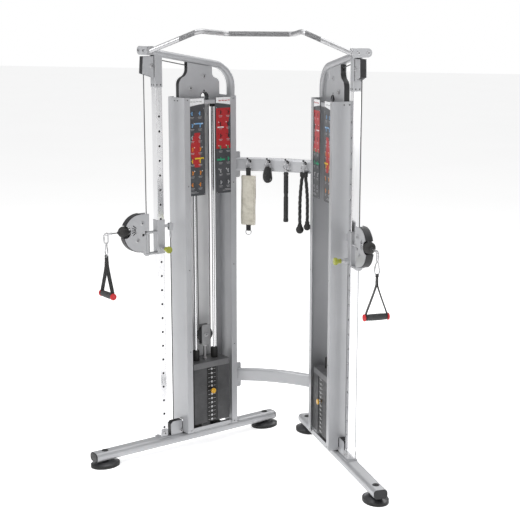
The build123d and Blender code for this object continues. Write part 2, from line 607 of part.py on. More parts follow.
# ============================ Carriage ======================================
with BuildPart() as carriage:
    with BuildSketch(level(CARRIAGE_BOTTOM)):
        RectangleRounded(CARRIAGE, CARRIAGE, 3)
        RectangleRounded(UPRIGHT + 0.8, UPRIGHT + 0.8, 3, mode=Mode.SUBTRACT)
    extrude(amount=CARRIAGE_TOP - CARRIAGE_BOTTOM)
    for z_lug in (CARRIAGE_BOTTOM, CARRIAGE_BOTTOM + 112):
        with BuildSketch(level(z_lug)):
            with Locations(((CARRIAGE / 2 + PIVOT_S) / 2, 0)):
                Rectangle(PIVOT_S - CARRIAGE / 2, 2 * LUG_HALF)
            with Locations((PIVOT_S, 0)):
                Circle(LUG_HALF)
                Circle(PIVOT_D / 2 + 0.1, mode=Mode.SUBTRACT)
        extrude(amount=LUG_THICK)
    with BuildSketch(side(CARRIAGE / 2 - 1, 0, KNOB_Z)):
        Circle(13)
    extrude(amount=22)
    with BuildSketch(side(UPRIGHT / 2, 0, KNOB_Z)):
        Circle(5.6)
    extrude(amount=40, mode=Mode.SUBTRACT)
    with BuildSketch(side(-4, (-CARRIAGE / 2 + BASE_PULLEY[0] + GROOVE_R) / 2 - 4, 1240)):
        Rectangle(BASE_PULLEY[0] + GROOVE_R + CARRIAGE / 2 - 8, 14)
    extrude(amount=8)
    for t in (6, -10):
        with BuildSketch(side(t, BASE_PULLEY[0] + GROOVE_R, 1236)):
            RectangleRounded(24, 34, 6)
        extrude(amount=4)
    with BuildSketch(side(-10, BASE_PULLEY[0] + GROOVE_R, 1240)):
        Circle(4)
    extrude(amount=20)
    with BuildSketch(level(1192, BASE_PULLEY[0] + GROOVE_R)):
        Circle(5)
    extrude(amount=24)
    with BuildSketch(level(1216, BASE_PULLEY[0] + GROOVE_R)):
        Rectangle(22, 20)
    extrude(amount=7)
    with BuildSketch(level(CARRIAGE_BOTTOM - 5, PIVOT_S)):
        Circle(12)
    extrude(amount=5)
    with BuildSketch(level(CARRIAGE_BOTTOM, PIVOT_S)):
        Circle(PIVOT_D / 2)
    extrude(amount=112 + LUG_THICK)
    with BuildSketch(level(CARRIAGE_BOTTOM + 112 + LUG_THICK, PIVOT_S)):
        Circle(11)
    extrude(amount=4)
save_pair(carriage.part, "carriage")

with BuildPart() as pop_pin:
    for t, depth, r in ((UPRIGHT / 2 + 0.3, 50, 5.5), (CARRIAGE / 2 + 21.5, 22, 9),
                        (CARRIAGE / 2 + 43, 12, 12)):
        with BuildSketch(side(t, 0, KNOB_Z)):
            Circle(r)
        extrude(amount=depth)
    with BuildSketch(side(CARRIAGE / 2 + 55, 0, KNOB_Z)):
        Circle(12)
    with BuildSketch(side(CARRIAGE / 2 + 66, 0, KNOB_Z)):
        Circle(18)
    loft()
    with BuildSketch(side(CARRIAGE / 2 + 66, 0, KNOB_Z)):
        Circle(18)
    extrude(amount=14)
    fillet(pop_pin.edges().filter_by(GeomType.CIRCLE).group_by(SortBy.RADIUS)[-1], 4)
save_pair(pop_pin.part, "pop_pin")

# ============================ Swivel arm ====================================
ARM_TUBE_BOTTOM = CARRIAGE_BOTTOM + LUG_THICK + 0.5
ARM_TUBE_TOP = CARRIAGE_BOTTOM + 112 - 0.5
NOTCH_TOP = 1230.0

arm_bolts = [bolt(pulley, ARM_INNER + ARM_PLATE, 4) for pulley in (ARM_UPPER_PULLEY, ARM_LOWER_PULLEY)]
with BuildPart() as swivel_arm:
    for t in (ARM_INNER, -ARM_INNER - ARM_PLATE):
        with BuildSketch(side(t)):
            with BuildLine():
                Polyline((ARM_CENTRE, ARM_Z - ARM_R), (ARM_NOTCH, ARM_Z - ARM_R),
                         (ARM_NOTCH, NOTCH_TOP), (ARM_BACK, NOTCH_TOP),
                         (ARM_BACK, ARM_Z + ARM_R), (ARM_CENTRE, ARM_Z + ARM_R))
                ThreePointArc((ARM_CENTRE, ARM_Z + ARM_R), (ARM_CENTRE + ARM_R, ARM_Z),
                              (ARM_CENTRE, ARM_Z - ARM_R))
            make_face()
            with Locations((BALL_S, CABLE_OUT_Z)):
                Circle(BALL_R + 2, mode=Mode.SUBTRACT)
            with Locations(ARM_UPPER_PULLEY, ARM_LOWER_PULLEY):
                Circle(AXLE_D / 2 + 0.1, mode=Mode.SUBTRACT)
            with Locations((108, 1210)):
                RectangleRounded(13, 13, 2, mode=Mode.SUBTRACT)
            for angle in (-34, -16, 2, 20, 38):
                with Locations((134 + 31 * cos(radians(angle)), 1238 + 31 * sin(radians(angle)))):
                    SlotOverall(26, 5, rotation=angle, mode=Mode.SUBTRACT)
        extrude(amount=ARM_PLATE)
    with BuildSketch(level(ARM_TUBE_BOTTOM, PIVOT_S)):
        Circle(16)
        with Locations((15, 0)):
            Rectangle(12, 14)
        with Locations((19.25, 0)):
            Rectangle(7.5, 2 * (ARM_INNER + ARM_PLATE))
        Circle(PIVOT_D / 2 + PIVOT_GAP, mode=Mode.SUBTRACT)
    extrude(amount=ARM_TUBE_TOP - ARM_TUBE_BOTTOM)
    add(arm_bolts)
save_pair(swivel_arm.part, "swivel_arm")

with BuildPart() as arm_guard:
    with BuildSketch(side(-ARM_INNER)):
        with BuildLine():
            ThreePointArc((ARM_CENTRE, ARM_Z + ARM_R + 3), (ARM_CENTRE + ARM_R + 3, ARM_Z),
                          (ARM_CENTRE, ARM_Z - ARM_R - 3))
            ThreePointArc((ARM_CENTRE, ARM_Z + ARM_R - 1.5), (ARM_CENTRE + ARM_R - 1.5, ARM_Z),
                          (ARM_CENTRE, ARM_Z - ARM_R + 1.5))
            Line((ARM_CENTRE, ARM_Z + ARM_R + 3), (ARM_CENTRE, ARM_Z + ARM_R - 1.5))
            Line((ARM_CENTRE, ARM_Z - ARM_R - 3), (ARM_CENTRE, ARM_Z - ARM_R + 1.5))
        make_face()
        with Locations((BALL_S, CABLE_OUT_Z)):
            Circle(BALL_R + 2, mode=Mode.SUBTRACT)
    extrude(amount=2 * ARM_INNER)
save_pair(arm_guard.part, "arm_guard")

# ============================ Cable end and grip ============================
with BuildPart() as stopper_ball:
    with BuildSketch(side(0, BALL_S, CABLE_OUT_Z)):
        Circle(BALL_R)
        with Locations((0, -BALL_R)):
            Rectangle(4 * BALL_R, 2 * BALL_R, mode=Mode.SUBTRACT)
    revolve(axis=Axis(spot(BALL_S, 0, CABLE_OUT_Z), ALONG))
    with BuildSketch(facing(BALL_S - BALL_R - 1, z=CABLE_OUT_Z)):
        Circle(CABLE_D / 2)
    extrude(amount=2 * BALL_R + 2, mode=Mode.SUBTRACT)
save_pair(stopper_ball.part, "stopper_ball")

LINK_TOP, LINK_BOTTOM, CLIP_TOP = CABLE_OUT_Z + 8, CABLE_OUT_Z - 50, CABLE_OUT_Z - 44
with BuildPart() as cable_clips:
    with BuildSketch(facing(BALL_S + BALL_R - 4, z=CABLE_OUT_Z)):
        Circle(CABLE_D / 2)
    extrude(amount=LINK_S - 10 - BALL_S - BALL_R + 4)
    with BuildSketch(facing(LINK_S - 32, z=CABLE_OUT_Z)):
        Circle(6)
    extrude(amount=22)
    with BuildSketch(side(-3, LINK_S, (LINK_TOP + LINK_BOTTOM) / 2)):
        SlotOverall(LINK_TOP - LINK_BOTTOM, 30, rotation=90)
        SlotOverall(LINK_TOP - LINK_BOTTOM - 12, 18, rotation=90, mode=Mode.SUBTRACT)
    extrude(amount=6)
    with BuildSketch(facing(LINK_S - 3.5, z=(CLIP_TOP - 4 + SWING_Z) / 2)):
        with BuildLine():
            Polyline((-7, 30), (-16, -22))
            Polyline((7, 30), (16, -22))
            ThreePointArc((-7, 30), (0, 37), (7, 30))
            ThreePointArc((-16, -22), (0, -37), (16, -22))
        make_face()
        offset(amount=-6.5, mode=Mode.SUBTRACT)
    extrude(amount=7)
save_pair(cable_clips.part, "cable_clips")

LEG_TOP = 1070.0
with BuildPart() as handle_strap:
    with BuildSketch(facing(LINK_S - 7, z=0)):
        with BuildLine():
            Polyline((4, SWING_Z - 6.5), (4, LEG_TOP), (55.8, GRIP_Z + 24), (55.8, GRIP_Z),
                     (52.2, GRIP_Z), (52.2, GRIP_Z + 20), (0, LEG_TOP - 12), (-52.2, GRIP_Z + 20),
                     (-52.2, GRIP_Z), (-55.8, GRIP_Z), (-55.8, GRIP_Z + 24), (-4, LEG_TOP),
                     (-4, SWING_Z - 6.5), close=True)
        make_face()
    extrude(amount=14)
    with BuildSketch(side(-4, LINK_S, SWING_Z)):
        Circle(8.8)
        Circle(5.7, mode=Mode.SUBTRACT)
    extrude(amount=8)
    for t in (52.2, -55.8):
        with BuildSketch(side(t, LINK_S, GRIP_Z)):
            Circle(12)
        extrude(amount=3.6)
    with BuildSketch(side(-60, LINK_S, GRIP_Z)):
        Circle(5.4)
    extrude(amount=120, mode=Mode.SUBTRACT)
save_pair(handle_strap.part, "handle_strap")

with BuildPart() as hand_grip:
    with BuildSketch(Plane(origin=spot(LINK_S, 0, GRIP_Z), x_dir=INWARD, z_dir=-ALONG)):
        with BuildLine():
            Polyline((-64, 0), (-64, 17), (-56, 17), (-56, 5), (-GRIP_HALF, 5), (-GRIP_HALF, GRIP_R - 1))
            ThreePointArc((-GRIP_HALF, GRIP_R - 1), (0, GRIP_R + 2), (GRIP_HALF, GRIP_R - 1))
            Polyline((GRIP_HALF, GRIP_R - 1), (GRIP_HALF, 5), (56, 5), (56, 17), (64, 17), (64, 0),
                     (-64, 0))
        make_face()
    revolve(axis=Axis(spot(LINK_S, 0, GRIP_Z), INWARD))
save_pair(hand_grip.part, "hand_grip")

# ============================ Cables ========================================
TANGENT = atan2(TOP_PULLEY[1] - REAR_GUSSET_PULLEY[1], TOP_PULLEY[0] - REAR_GUSSET_PULLEY[0])
LIFT = (-GROOVE_R * sin(TANGENT), GROOVE_R * cos(TANGENT))
RUN_TOP = FRONT_GUSSET_PULLEY[1]


def over(pulley):
    return (pulley[0] + LIFT[0], pulley[1] + LIFT[1])


with BuildPart() as fixed_cables:
    turn = 90 + degrees(TANGENT)
    with BuildLine(side(0)) as upper_line:
        CenterArc(TOP_PULLEY, GROOVE_R, 0, turn)
        Line(over(TOP_PULLEY), over(REAR_GUSSET_PULLEY))
        CenterArc(REAR_GUSSET_PULLEY, GROOVE_R, turn, 180 - turn)
        Line((REAR_GUSSET_PULLEY[0] - GROOVE_R, REAR_GUSSET_PULLEY[1]),
             (REAR_GUSSET_PULLEY[0] - GROOVE_R, RUN_TOP))
    with BuildSketch(Plane(origin=upper_line.line @ 0, z_dir=upper_line.line % 0)):
        Circle(CABLE_D / 2)
    sweep()
    with BuildLine(side(0)) as lower_line:
        CenterArc(FRONT_GUSSET_PULLEY, GROOVE_R, 180, -180)
        Line((FRONT_GUSSET_PULLEY[0] + GROOVE_R, FRONT_GUSSET_PULLEY[1]),
             (BASE_PULLEY[0] - GROOVE_R, BASE_PULLEY[1]))
        CenterArc(BASE_PULLEY, GROOVE_R, 180, 180)
    with BuildSketch(Plane(origin=lower_line.line @ 0, z_dir=lower_line.line % 0)):
        Circle(CABLE_D / 2)
    sweep()
    mirror(about=Plane.YZ)
save(fixed_cables.part, "fixed_cables")
rear_s = BASE_PULLEY[0] + GROOVE_R
save(both_towers(straight_cable((PIVOT_S, TOP_PULLEY[1]), (PIVOT_S, ARM_UPPER_PULLEY[1]))), "front_cables")
save(both_towers(straight_cable((rear_s, BASE_PULLEY[1]), (rear_s, 1192))), "rear_cables")
stack_runs = [straight_cable((FLOATING_PULLEY[0] - GROOVE_R, FLOATING_PULLEY[1]),
                             (REAR_GUSSET_PULLEY[0] - GROOVE_R, RUN_TOP)),
              straight_cable((FLOATING_PULLEY[0] + GROOVE_R, FLOATING_PULLEY[1]),
                             (FRONT_GUSSET_PULLEY[0] - GROOVE_R, RUN_TOP))]
save(both_towers(Part() + stack_runs), "stack_cables")

# ============================ Accessories on the hooks ======================
HOOK_Y = [beam_y(x) - BEAM_DEPTH / 2 - HOOK_OUT + 18 for x in HOOK_XS]
RING_DROP = 7.8                      # peg centre to ring centre


def hanging(index, z=HOOK_Z):
    """Upright plane facing the user, through one hook: x to the right, y up."""
    return Plane(origin=(HOOK_XS[index], HOOK_Y[index], z), x_dir=(1, 0, 0), z_dir=(0, -1, 0))


def ring(index, drop=RING_DROP):
    """A flat steel ring below one hook's peg, drop below the peg's centre."""
    with BuildPart() as loop:
        with BuildSketch(hanging(index)):
            with Locations((0, -drop)):
                Circle(18)
                Circle(13, mode=Mode.SUBTRACT)
        extrude(amount=2.5, both=True)
    return loop.part


rings = [ring(index) for index in range(4)]
lower_ring = ring(0, 384)
with BuildPart() as padded_strap:
    add([rings[0], lower_ring])
    with BuildSketch(hanging(0, HOOK_Z - 52)):
        RectangleRounded(26, 56, 4)
    extrude(amount=2.5, both=True)
    with BuildSketch(hanging(0, HOOK_Z - 210)):
        RectangleRounded(82, 272, 12)
    extrude(amount=9, both=True)
    with BuildSketch(hanging(0, HOOK_Z - 358)):
        RectangleRounded(26, 40, 4)
    extrude(amount=2.5, both=True)
save(padded_strap.part, "padded_strap")

with BuildPart() as ankle_cuff:
    add(rings[1])
    with BuildSketch(hanging(1, HOOK_Z - 78)):
        with BuildLine():
            ThreePointArc((-24, 0), (0, -34), (24, 0))
            Line((24, 0), (9, 55))
            Line((9, 55), (-9, 55))
            Line((-9, 55), (-24, 0))
        make_face()
    extrude(amount=13, both=True)
save(ankle_cuff.part, "ankle_cuff")

with BuildPart() as curl_bar:
    add(rings[2])
    with BuildSketch(hanging(2, HOOK_Z - 40)):
        RectangleRounded(12, 34, 3)
    extrude(amount=4, both=True)
    with BuildSketch(Plane(origin=(HOOK_XS[2], HOOK_Y[2], HOOK_Z - 50))):
        Circle(13)
    extrude(amount=-270)
save(curl_bar.part, "curl_bar")

with BuildPart() as triceps_rope:
    add(rings[3])
    with BuildSketch(Plane(origin=(HOOK_XS[3], HOOK_Y[3], HOOK_Z - 22.5))):
        Circle(12)
    extrude(amount=-40)
    for x_offset, drop in ((-15, 360), (15, 344)):
        top = Vector(HOOK_XS[3] + x_offset * 0.62, HOOK_Y[3], HOOK_Z - 62)
        end = Vector(HOOK_XS[3] + x_offset, HOOK_Y[3], HOOK_Z - drop)
        run = (end - top).normalized()
        with BuildSketch(Plane(origin=top, z_dir=run)):
            Circle(9)
        extrude(amount=(end - top).length)
        with BuildSketch(Plane(origin=end - run * 4, z_dir=run)):
            Circle(14.5)
        extrude(amount=30)
save(triceps_rope.part, "triceps_rope")
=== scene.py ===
from math import cos, pi, radians, sin, sqrt

import bmesh
import bpy
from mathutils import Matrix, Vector


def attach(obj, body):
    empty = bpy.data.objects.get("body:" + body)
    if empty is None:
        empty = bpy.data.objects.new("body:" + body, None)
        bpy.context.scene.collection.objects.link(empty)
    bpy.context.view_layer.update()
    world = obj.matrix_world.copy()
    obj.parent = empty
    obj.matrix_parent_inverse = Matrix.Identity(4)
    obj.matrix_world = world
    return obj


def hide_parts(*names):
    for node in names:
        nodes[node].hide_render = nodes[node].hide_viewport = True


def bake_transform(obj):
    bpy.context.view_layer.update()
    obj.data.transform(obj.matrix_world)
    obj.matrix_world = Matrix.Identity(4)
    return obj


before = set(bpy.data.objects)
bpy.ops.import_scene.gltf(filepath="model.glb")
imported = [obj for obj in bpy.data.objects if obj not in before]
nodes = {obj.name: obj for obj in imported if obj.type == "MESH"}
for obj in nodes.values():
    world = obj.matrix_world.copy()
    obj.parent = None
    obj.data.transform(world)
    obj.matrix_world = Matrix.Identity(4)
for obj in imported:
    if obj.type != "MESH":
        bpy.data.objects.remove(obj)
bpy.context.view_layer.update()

# Millimetres in one tower's own directions: s along the rail to its front, t to the user side, z up.
TOWER = (524.2, -135.2)
ANGLE = radians(55)
SIDES = (("left", -1), ("right", 1))
UP = Vector((0, 0, 1))


def spot(side, s, t, z):
    return Vector((side * (TOWER[0] + s * cos(ANGLE) - t * sin(ANGLE)),
                   TOWER[1] - s * sin(ANGLE) - t * cos(ANGLE), z)) / 1000


def along(side):
    return Vector((side * cos(ANGLE), -sin(ANGLE), 0))


def inward(side):
    return Vector((-side * sin(ANGLE), -cos(ANGLE), 0))


# ------------------------------------------------------------------ materials
class Shader:
    """One node material, written as short calls."""

    def __init__(self, name):
        self.mat = bpy.data.materials.new(name)
        self.mat.use_nodes = True
        self.tree = self.mat.node_tree
        self.tree.nodes.clear()
        self.out = self.add("ShaderNodeOutputMaterial")
        self.bsdf = self.add("ShaderNodeBsdfPrincipled")
        self.join(self.bsdf.outputs[0], self.out.inputs["Surface"])
        self.where = self.add("ShaderNodeTexCoord").outputs["Object"]

    def add(self, kind, **settings):
        node = self.tree.nodes.new(kind)
        for key, value in settings.items():
            setattr(node, key, value)
        return node

    def join(self, source, target):
        self.tree.links.new(source, target)

    def stretched(self, scale, turn=(0, 0, 0)):
        node = self.add("ShaderNodeMapping")
        node.inputs["Scale"].default_value = scale
        node.inputs["Rotation"].default_value = turn
        self.join(self.where, node.inputs["Vector"])
        return node.outputs[0]

    def noise(self, scale, detail=3.0, rough=0.55, vector=None):
        node = self.add("ShaderNodeTexNoise")
        node.inputs["Scale"].default_value = scale
        node.inputs["Detail"].default_value = detail
        node.inputs["Roughness"].default_value = rough
        self.join(vector or self.where, node.inputs["Vector"])
        return node.outputs["Fac"]

    def cells(self, scale, vector=None):
        node = self.add("ShaderNodeTexVoronoi")
        node.inputs["Scale"].default_value = scale
        self.join(vector or self.where, node.inputs["Vector"])
        return node.outputs["Distance"]

    def waves(self, scale, vector=None, distortion=0.0, direction="X"):
        node = self.add("ShaderNodeTexWave", bands_direction=direction)
        node.inputs["Scale"].default_value = scale
        node.inputs["Distortion"].default_value = distortion
        self.join(vector or self.where, node.inputs["Vector"])
        return node.outputs["Fac"]

    def ramp(self, fac, stops):
        node = self.add("ShaderNodeValToRGB")
        ends = node.color_ramp.elements
        while len(ends) < len(stops):
            ends.new(0.5)
        for element, (place, colour) in zip(ends, stops):
            element.position = place
            element.color = (*colour, 1) if len(colour) == 3 else colour
        self.join(fac, node.inputs["Fac"])
        return node.outputs["Color"]

    def sums(self, operation, a, b):
        node = self.add("ShaderNodeMath", operation=operation)
        for socket, value in zip(node.inputs, (a, b)):
            if isinstance(value, (int, float)):
                socket.default_value = value
            else:
                self.join(value, socket)
        return node.outputs[0]

    def spread(self, fac, low, high, start=0.3, end=0.7):
        node = self.add("ShaderNodeMapRange")
        for key, value in (("From Min", start), ("From Max", end), ("To Min", low), ("To Max", high)):
            node.inputs[key].default_value = value
        self.join(fac, node.inputs["Value"])
        return node.outputs[0]

    def blend(self, fac, a, b):
        node = self.add("ShaderNodeMix", data_type="RGBA")
        self.join(fac, node.inputs["Factor"])
        for socket, value in ((node.inputs[6], a), (node.inputs[7], b)):
            if isinstance(value, tuple):
                socket.default_value = (*value, 1)
            else:
                self.join(value, socket)
        return node.outputs[2]

    def axis(self, index):
        node = self.add("ShaderNodeSeparateXYZ")
        self.join(self.where, node.inputs[0])
        return node.outputs[index]

    def relief(self, height, distance, edge=0.0012, strength=1.0):
        node = self.add("ShaderNodeBump")
        node.inputs["Distance"].default_value = distance
        node.inputs["Strength"].default_value = strength
        self.join(height, node.inputs["Height"])
        if edge:
            soft = self.add("ShaderNodeBevel", samples=4)
            soft.inputs["Radius"].default_value = edge
            self.join(soft.outputs[0], node.inputs["Normal"])
        self.join(node.outputs[0], self.bsdf.inputs["Normal"])

    def set(self, **values):
        for key, value in values.items():
            socket = self.bsdf.inputs[key.replace("_", " ")]
            if isinstance(value, bpy.types.NodeSocket):
                self.join(value, socket)
            else:
                socket.default_value = value
        return self.mat


def surface(name, dark, light, metal, rough, cloud=6.0, grain=900.0, depth=0.00006, edge=0.0012, **more):
    """A finish with clouded tone, uneven gloss and a fine grain."""
    s = Shader(name)
    patches = s.noise(cloud, 4)
    s.relief(s.noise(grain, 2), depth, edge)
    return s.set(Base_Color=s.ramp(patches, ((0.3, dark), (0.7, light))), Metallic=metal,
                 Roughness=s.spread(s.noise(cloud * 5, 3), *rough), **more)


def powder_coat(name, dark, light):
    """Silver powder coat: metal flake under a thin clear layer, with a slight orange peel."""
    s = Shader(name)
    flake = s.cells(1500)
    tone = s.ramp(s.noise(3.2, 5), ((0.3, dark), (0.7, light)))
    sparkle = s.ramp(flake, ((0.1, (0.92, 0.92, 0.92)), (0.5, (1.0, 1.0, 1.0))))
    mixed = s.add("ShaderNodeMix", data_type="RGBA", blend_type="MULTIPLY")
    mixed.inputs["Factor"].default_value = 0.6
    s.join(tone, mixed.inputs[6])
    s.join(sparkle, mixed.inputs[7])
    s.relief(s.noise(420, 2), 0.00008, 0.0018)
    return s.set(Base_Color=mixed.outputs[2], Metallic=0.55, Roughness=s.spread(flake, 0.36, 0.5, 0, 0.6),
                 Coat_Weight=0.25, Coat_Roughness=0.2)


def chrome(name, tone, streak=(1, 1, 0.03), low=0.08, high=0.22):
    """Bright plated steel with faint drawing marks along its length."""
    s = Shader(name)
    lines = s.noise(260, 3, 0.6, s.stretched(streak))
    s.relief(lines, 0.00003, 0.0015)
    return s.set(Base_Color=s.ramp(s.noise(2.5), ((0.3, tone), (0.7, tuple(min(1, v * 1.06) for v in tone)))),
                 Metallic=1.0, Roughness=s.spread(lines, low, high))


def woven(name, dark, light, scale=420.0):
    """Webbing: two crossed sets of yarns."""
    s = Shader(name)
    weave = s.sums("MULTIPLY", s.waves(scale, s.stretched((1, 1, 1), (0, 0, 0.78))),
                   s.waves(scale, direction="Z"))
    s.relief(weave, 0.0006, 0.0006)
    return s.set(Base_Color=s.ramp(weave, ((0.0, dark), (0.8, light))),
                 Roughness=s.spread(s.noise(60), 0.75, 0.95), Sheen_Weight=0.3)


silver = powder_coat("silver_powder_coat", (0.44, 0.445, 0.46), (0.50, 0.505, 0.52))
plated = chrome("chrome_tube", (0.78, 0.78, 0.79))
steel = chrome("zinc_steel", (0.50, 0.50, 0.51), (1, 1, 1), 0.22, 0.42)
bright_sheet = surface("bright_sheet", (0.80, 0.80, 0.81), (0.88, 0.88, 0.88), 0.1, (0.3, 0.45), 5, 500,
                       0.00005, Coat_Weight=0.3)
black_plastic = surface("moulded_black", (0.012, 0.012, 0.013), (0.022, 0.022, 0.024), 0.0, (0.38, 0.6), 18)
rubber = surface("black_rubber", (0.010, 0.010, 0.010), (0.024, 0.023, 0.022), 0.0, (0.55, 0.8), 25, 500,
                 0.0002)
iron = surface("enamelled_iron", (0.050, 0.050, 0.053), (0.085, 0.085, 0.088), 0.25, (0.42, 0.62), 9, 350,
               0.00025)
placard_mat = surface("printed_sheet", (0.045, 0.047, 0.052), (0.068, 0.070, 0.076), 0.0, (0.3, 0.45), 14,
                      700, 0.00003, 0.0006)
green = surface("lime_knob", (0.24, 0.26, 0.010), (0.33, 0.35, 0.02), 0.0, (0.22, 0.4), 30, 800, 0.00004,
                Coat_Weight=0.4)
amber = surface("amber_knob", (0.55, 0.27, 0.008), (0.72, 0.40, 0.02), 0.0, (0.2, 0.36), 30, 800, 0.00004,
                Coat_Weight=0.4)
red = surface("red_cap", (0.50, 0.015, 0.02), (0.66, 0.03, 0.035), 0.0, (0.28, 0.45), 40, 800, 0.00004)
coated = Shader("coated_cable")
strands = coated.waves(330, coated.stretched((1, 1, 0.5), (0.5, 0.3, 0)))
coated.relief(strands, 0.0002, 0)
coated = coated.set(Base_Color=coated.ramp(strands, ((0.0, (0.055, 0.055, 0.058)),
                                                     (1.0, (0.12, 0.12, 0.125)))),
                    Roughness=coated.spread(coated.noise(90), 0.3, 0.5))
webbing = woven("black_webbing", (0.006, 0.006, 0.006), (0.035, 0.035, 0.036))
thread = woven("grey_thread", (0.10, 0.10, 0.10), (0.22, 0.22, 0.22), 900)
rope_mat = woven("braided_rope", (0.005, 0.005, 0.005), (0.045, 0.045, 0.046), 260)

# Foot pads: a matt rubber rim under a glossier grey dome.
s = Shader("foot_pad")
rim = s.spread(s.axis(2), 0.0, 1.0, 0.0135, 0.0165)
s.relief(s.noise(600, 2), 0.0001, 0.002)
pad_mat = s.set(Base_Color=s.blend(rim, (0.008, 0.008, 0.008), s.ramp(
    s.noise(12), ((0.3, (0.022, 0.022, 0.024)), (0.7, (0.045, 0.045, 0.048))))),
    Roughness=s.spread(rim, 0.75, 0.30, 0.0, 1.0), Coat_Weight=0.2)

# Pull-up bar: bare satin steel with knurled bands for the hands.
s = Shader("knurled_bar")
x = s.sums("ABSOLUTE", s.axis(0), 0.0)
centre = s.sums("LESS_THAN", x, 0.160)
outer = s.sums("MULTIPLY", s.sums("GREATER_THAN", x, 0.285), s.sums("LESS_THAN", x, 0.365))
zone = s.sums("MAXIMUM", centre, outer)
cross = s.sums("MULTIPLY", s.waves(150, s.stretched((1, 1, 1), (0, 0.7, 0.6))),
               s.waves(150, s.stretched((1, 1, 1), (0, -0.7, -0.6))))
s.relief(s.sums("MULTIPLY", cross, zone), 0.0016, 0.0)
bar_tone = s.ramp(cross, ((0.0, (0.20, 0.20, 0.205)), (0.7, (0.50, 0.50, 0.51))))
bar_mat = s.set(Base_Color=s.blend(zone, (0.50, 0.50, 0.51), bar_tone), Metallic=0.85,
                Roughness=s.spread(s.noise(60, 3, 0.5, s.stretched((0.1, 1, 1))), 0.25, 0.42))

# Stack head: dark stem, grey head plate, lighter yoke.
s = Shader("stack_head")
z = s.axis(2)
lit = s.spread(z, 0.0, 1.0, 0.4735, 0.4736)
tone = s.ramp(s.noise(9), ((0.3, (0.15, 0.15, 0.155)), (0.7, (0.20, 0.20, 0.205))))
bright = s.ramp(s.noise(12), ((0.3, (0.30, 0.30, 0.305)), (0.7, (0.38, 0.38, 0.385))))
s.relief(s.noise(350), 0.0002, 0.0015)
head_mat = s.set(Base_Color=s.blend(lit, tone, bright), Metallic=0.5,
                 Roughness=s.spread(s.noise(30), 0.35, 0.5))

# Padded strap: pale leather with a pebbled grain.
s = Shader("pale_leather")
pebble = s.cells(420)
creases = s.noise(38, 5, 0.65)
s.relief(s.sums("ADD", s.sums("MULTIPLY", pebble, 0.35), creases), 0.0012, 0.001)
leather = s.set(Base_Color=s.ramp(creases, ((0.25, (0.42, 0.39, 0.32)), (0.55, (0.60, 0.57, 0.49)),
                                            (0.8, (0.66, 0.63, 0.55)))),
                Roughness=s.spread(pebble, 0.5, 0.75, 0, 0.6), Sheen_Weight=0.15)

# Hand grip: ribbed dark rubber.
s = Shader("grip_rubber")
ribs = s.waves(95, s.stretched((1, 1, 1), (0, 0, radians(-35))), 0.2)
s.relief(s.sums("ADD", s.sums("MULTIPLY", ribs, 0.6), s.noise(500)), 0.0007, 0.001)
grip_mat = s.set(Base_Color=s.ramp(s.noise(40), ((0.3, (0.035, 0.035, 0.036)), (0.7, (0.06, 0.06, 0.062)))),
                 Roughness=s.spread(s.noise(80), 0.55, 0.8))


def ink(name, colour):
    """Printed ink with a slightly mottled coverage."""
    return surface(name, tuple(v * 0.82 for v in colour), colour, 0.0, (0.3, 0.5), 120, 900, 0.00002, 0)


# the black ink also colours painted shade: the strips inside the uprights, the hexagons in bolt sockets and
# the hole disc
INKS = {"white": ink("ink_white", (0.82, 0.82, 0.83)), "red": ink("ink_red", (0.42, 0.018, 0.022)),
        "blue": ink("ink_blue", (0.16, 0.36, 0.62)), "green": ink("ink_green", (0.02, 0.33, 0.16)),
        "yellow": ink("ink_yellow", (0.74, 0.50, 0.03)), "orange": ink("ink_orange", (0.72, 0.24, 0.02)),
        "grey": ink("ink_grey", (0.42, 0.42, 0.43)), "black": ink("ink_black", (0.008, 0.008, 0.008))}

LOOKS = {"base_rails": silver, "foot_pads": pad_mat, "uprights": plated, "arch_frames": silver,
         "pulley_plates": silver, "plastic_trim": black_plastic, "stack_covers": silver,
         "outer_shields": bright_sheet, "placards": placard_mat, "guide_rods": plated, "stack_bumpers": rubber,
         "resting_plates": iron, "lifted_plates": iron, "stack_head": head_mat, "selector_pin": amber,
         "crossbeams": silver, "pull_up_bar": bar_mat, "bar_brackets": silver, "frame_bolts": steel,
         "carriage": silver, "pop_pin": green, "swivel_arm": silver, "arm_guard": black_plastic,
         "stopper_ball": rubber, "cable_clips": steel, "handle_strap": webbing, "hand_grip": grip_mat,
         "fixed_cables": coated, "front_cables": coated, "rear_cables": coated, "stack_cables": coated,
         "padded_strap": leather, "ankle_cuff": webbing, "curl_bar": black_plastic, "triceps_rope": rope_mat}
for name, node in nodes.items():
    key = name.replace("left_", "").replace("right_", "")
    node.data.materials.clear()
    node.data.materials.append(LOOKS.get(key, black_plastic))


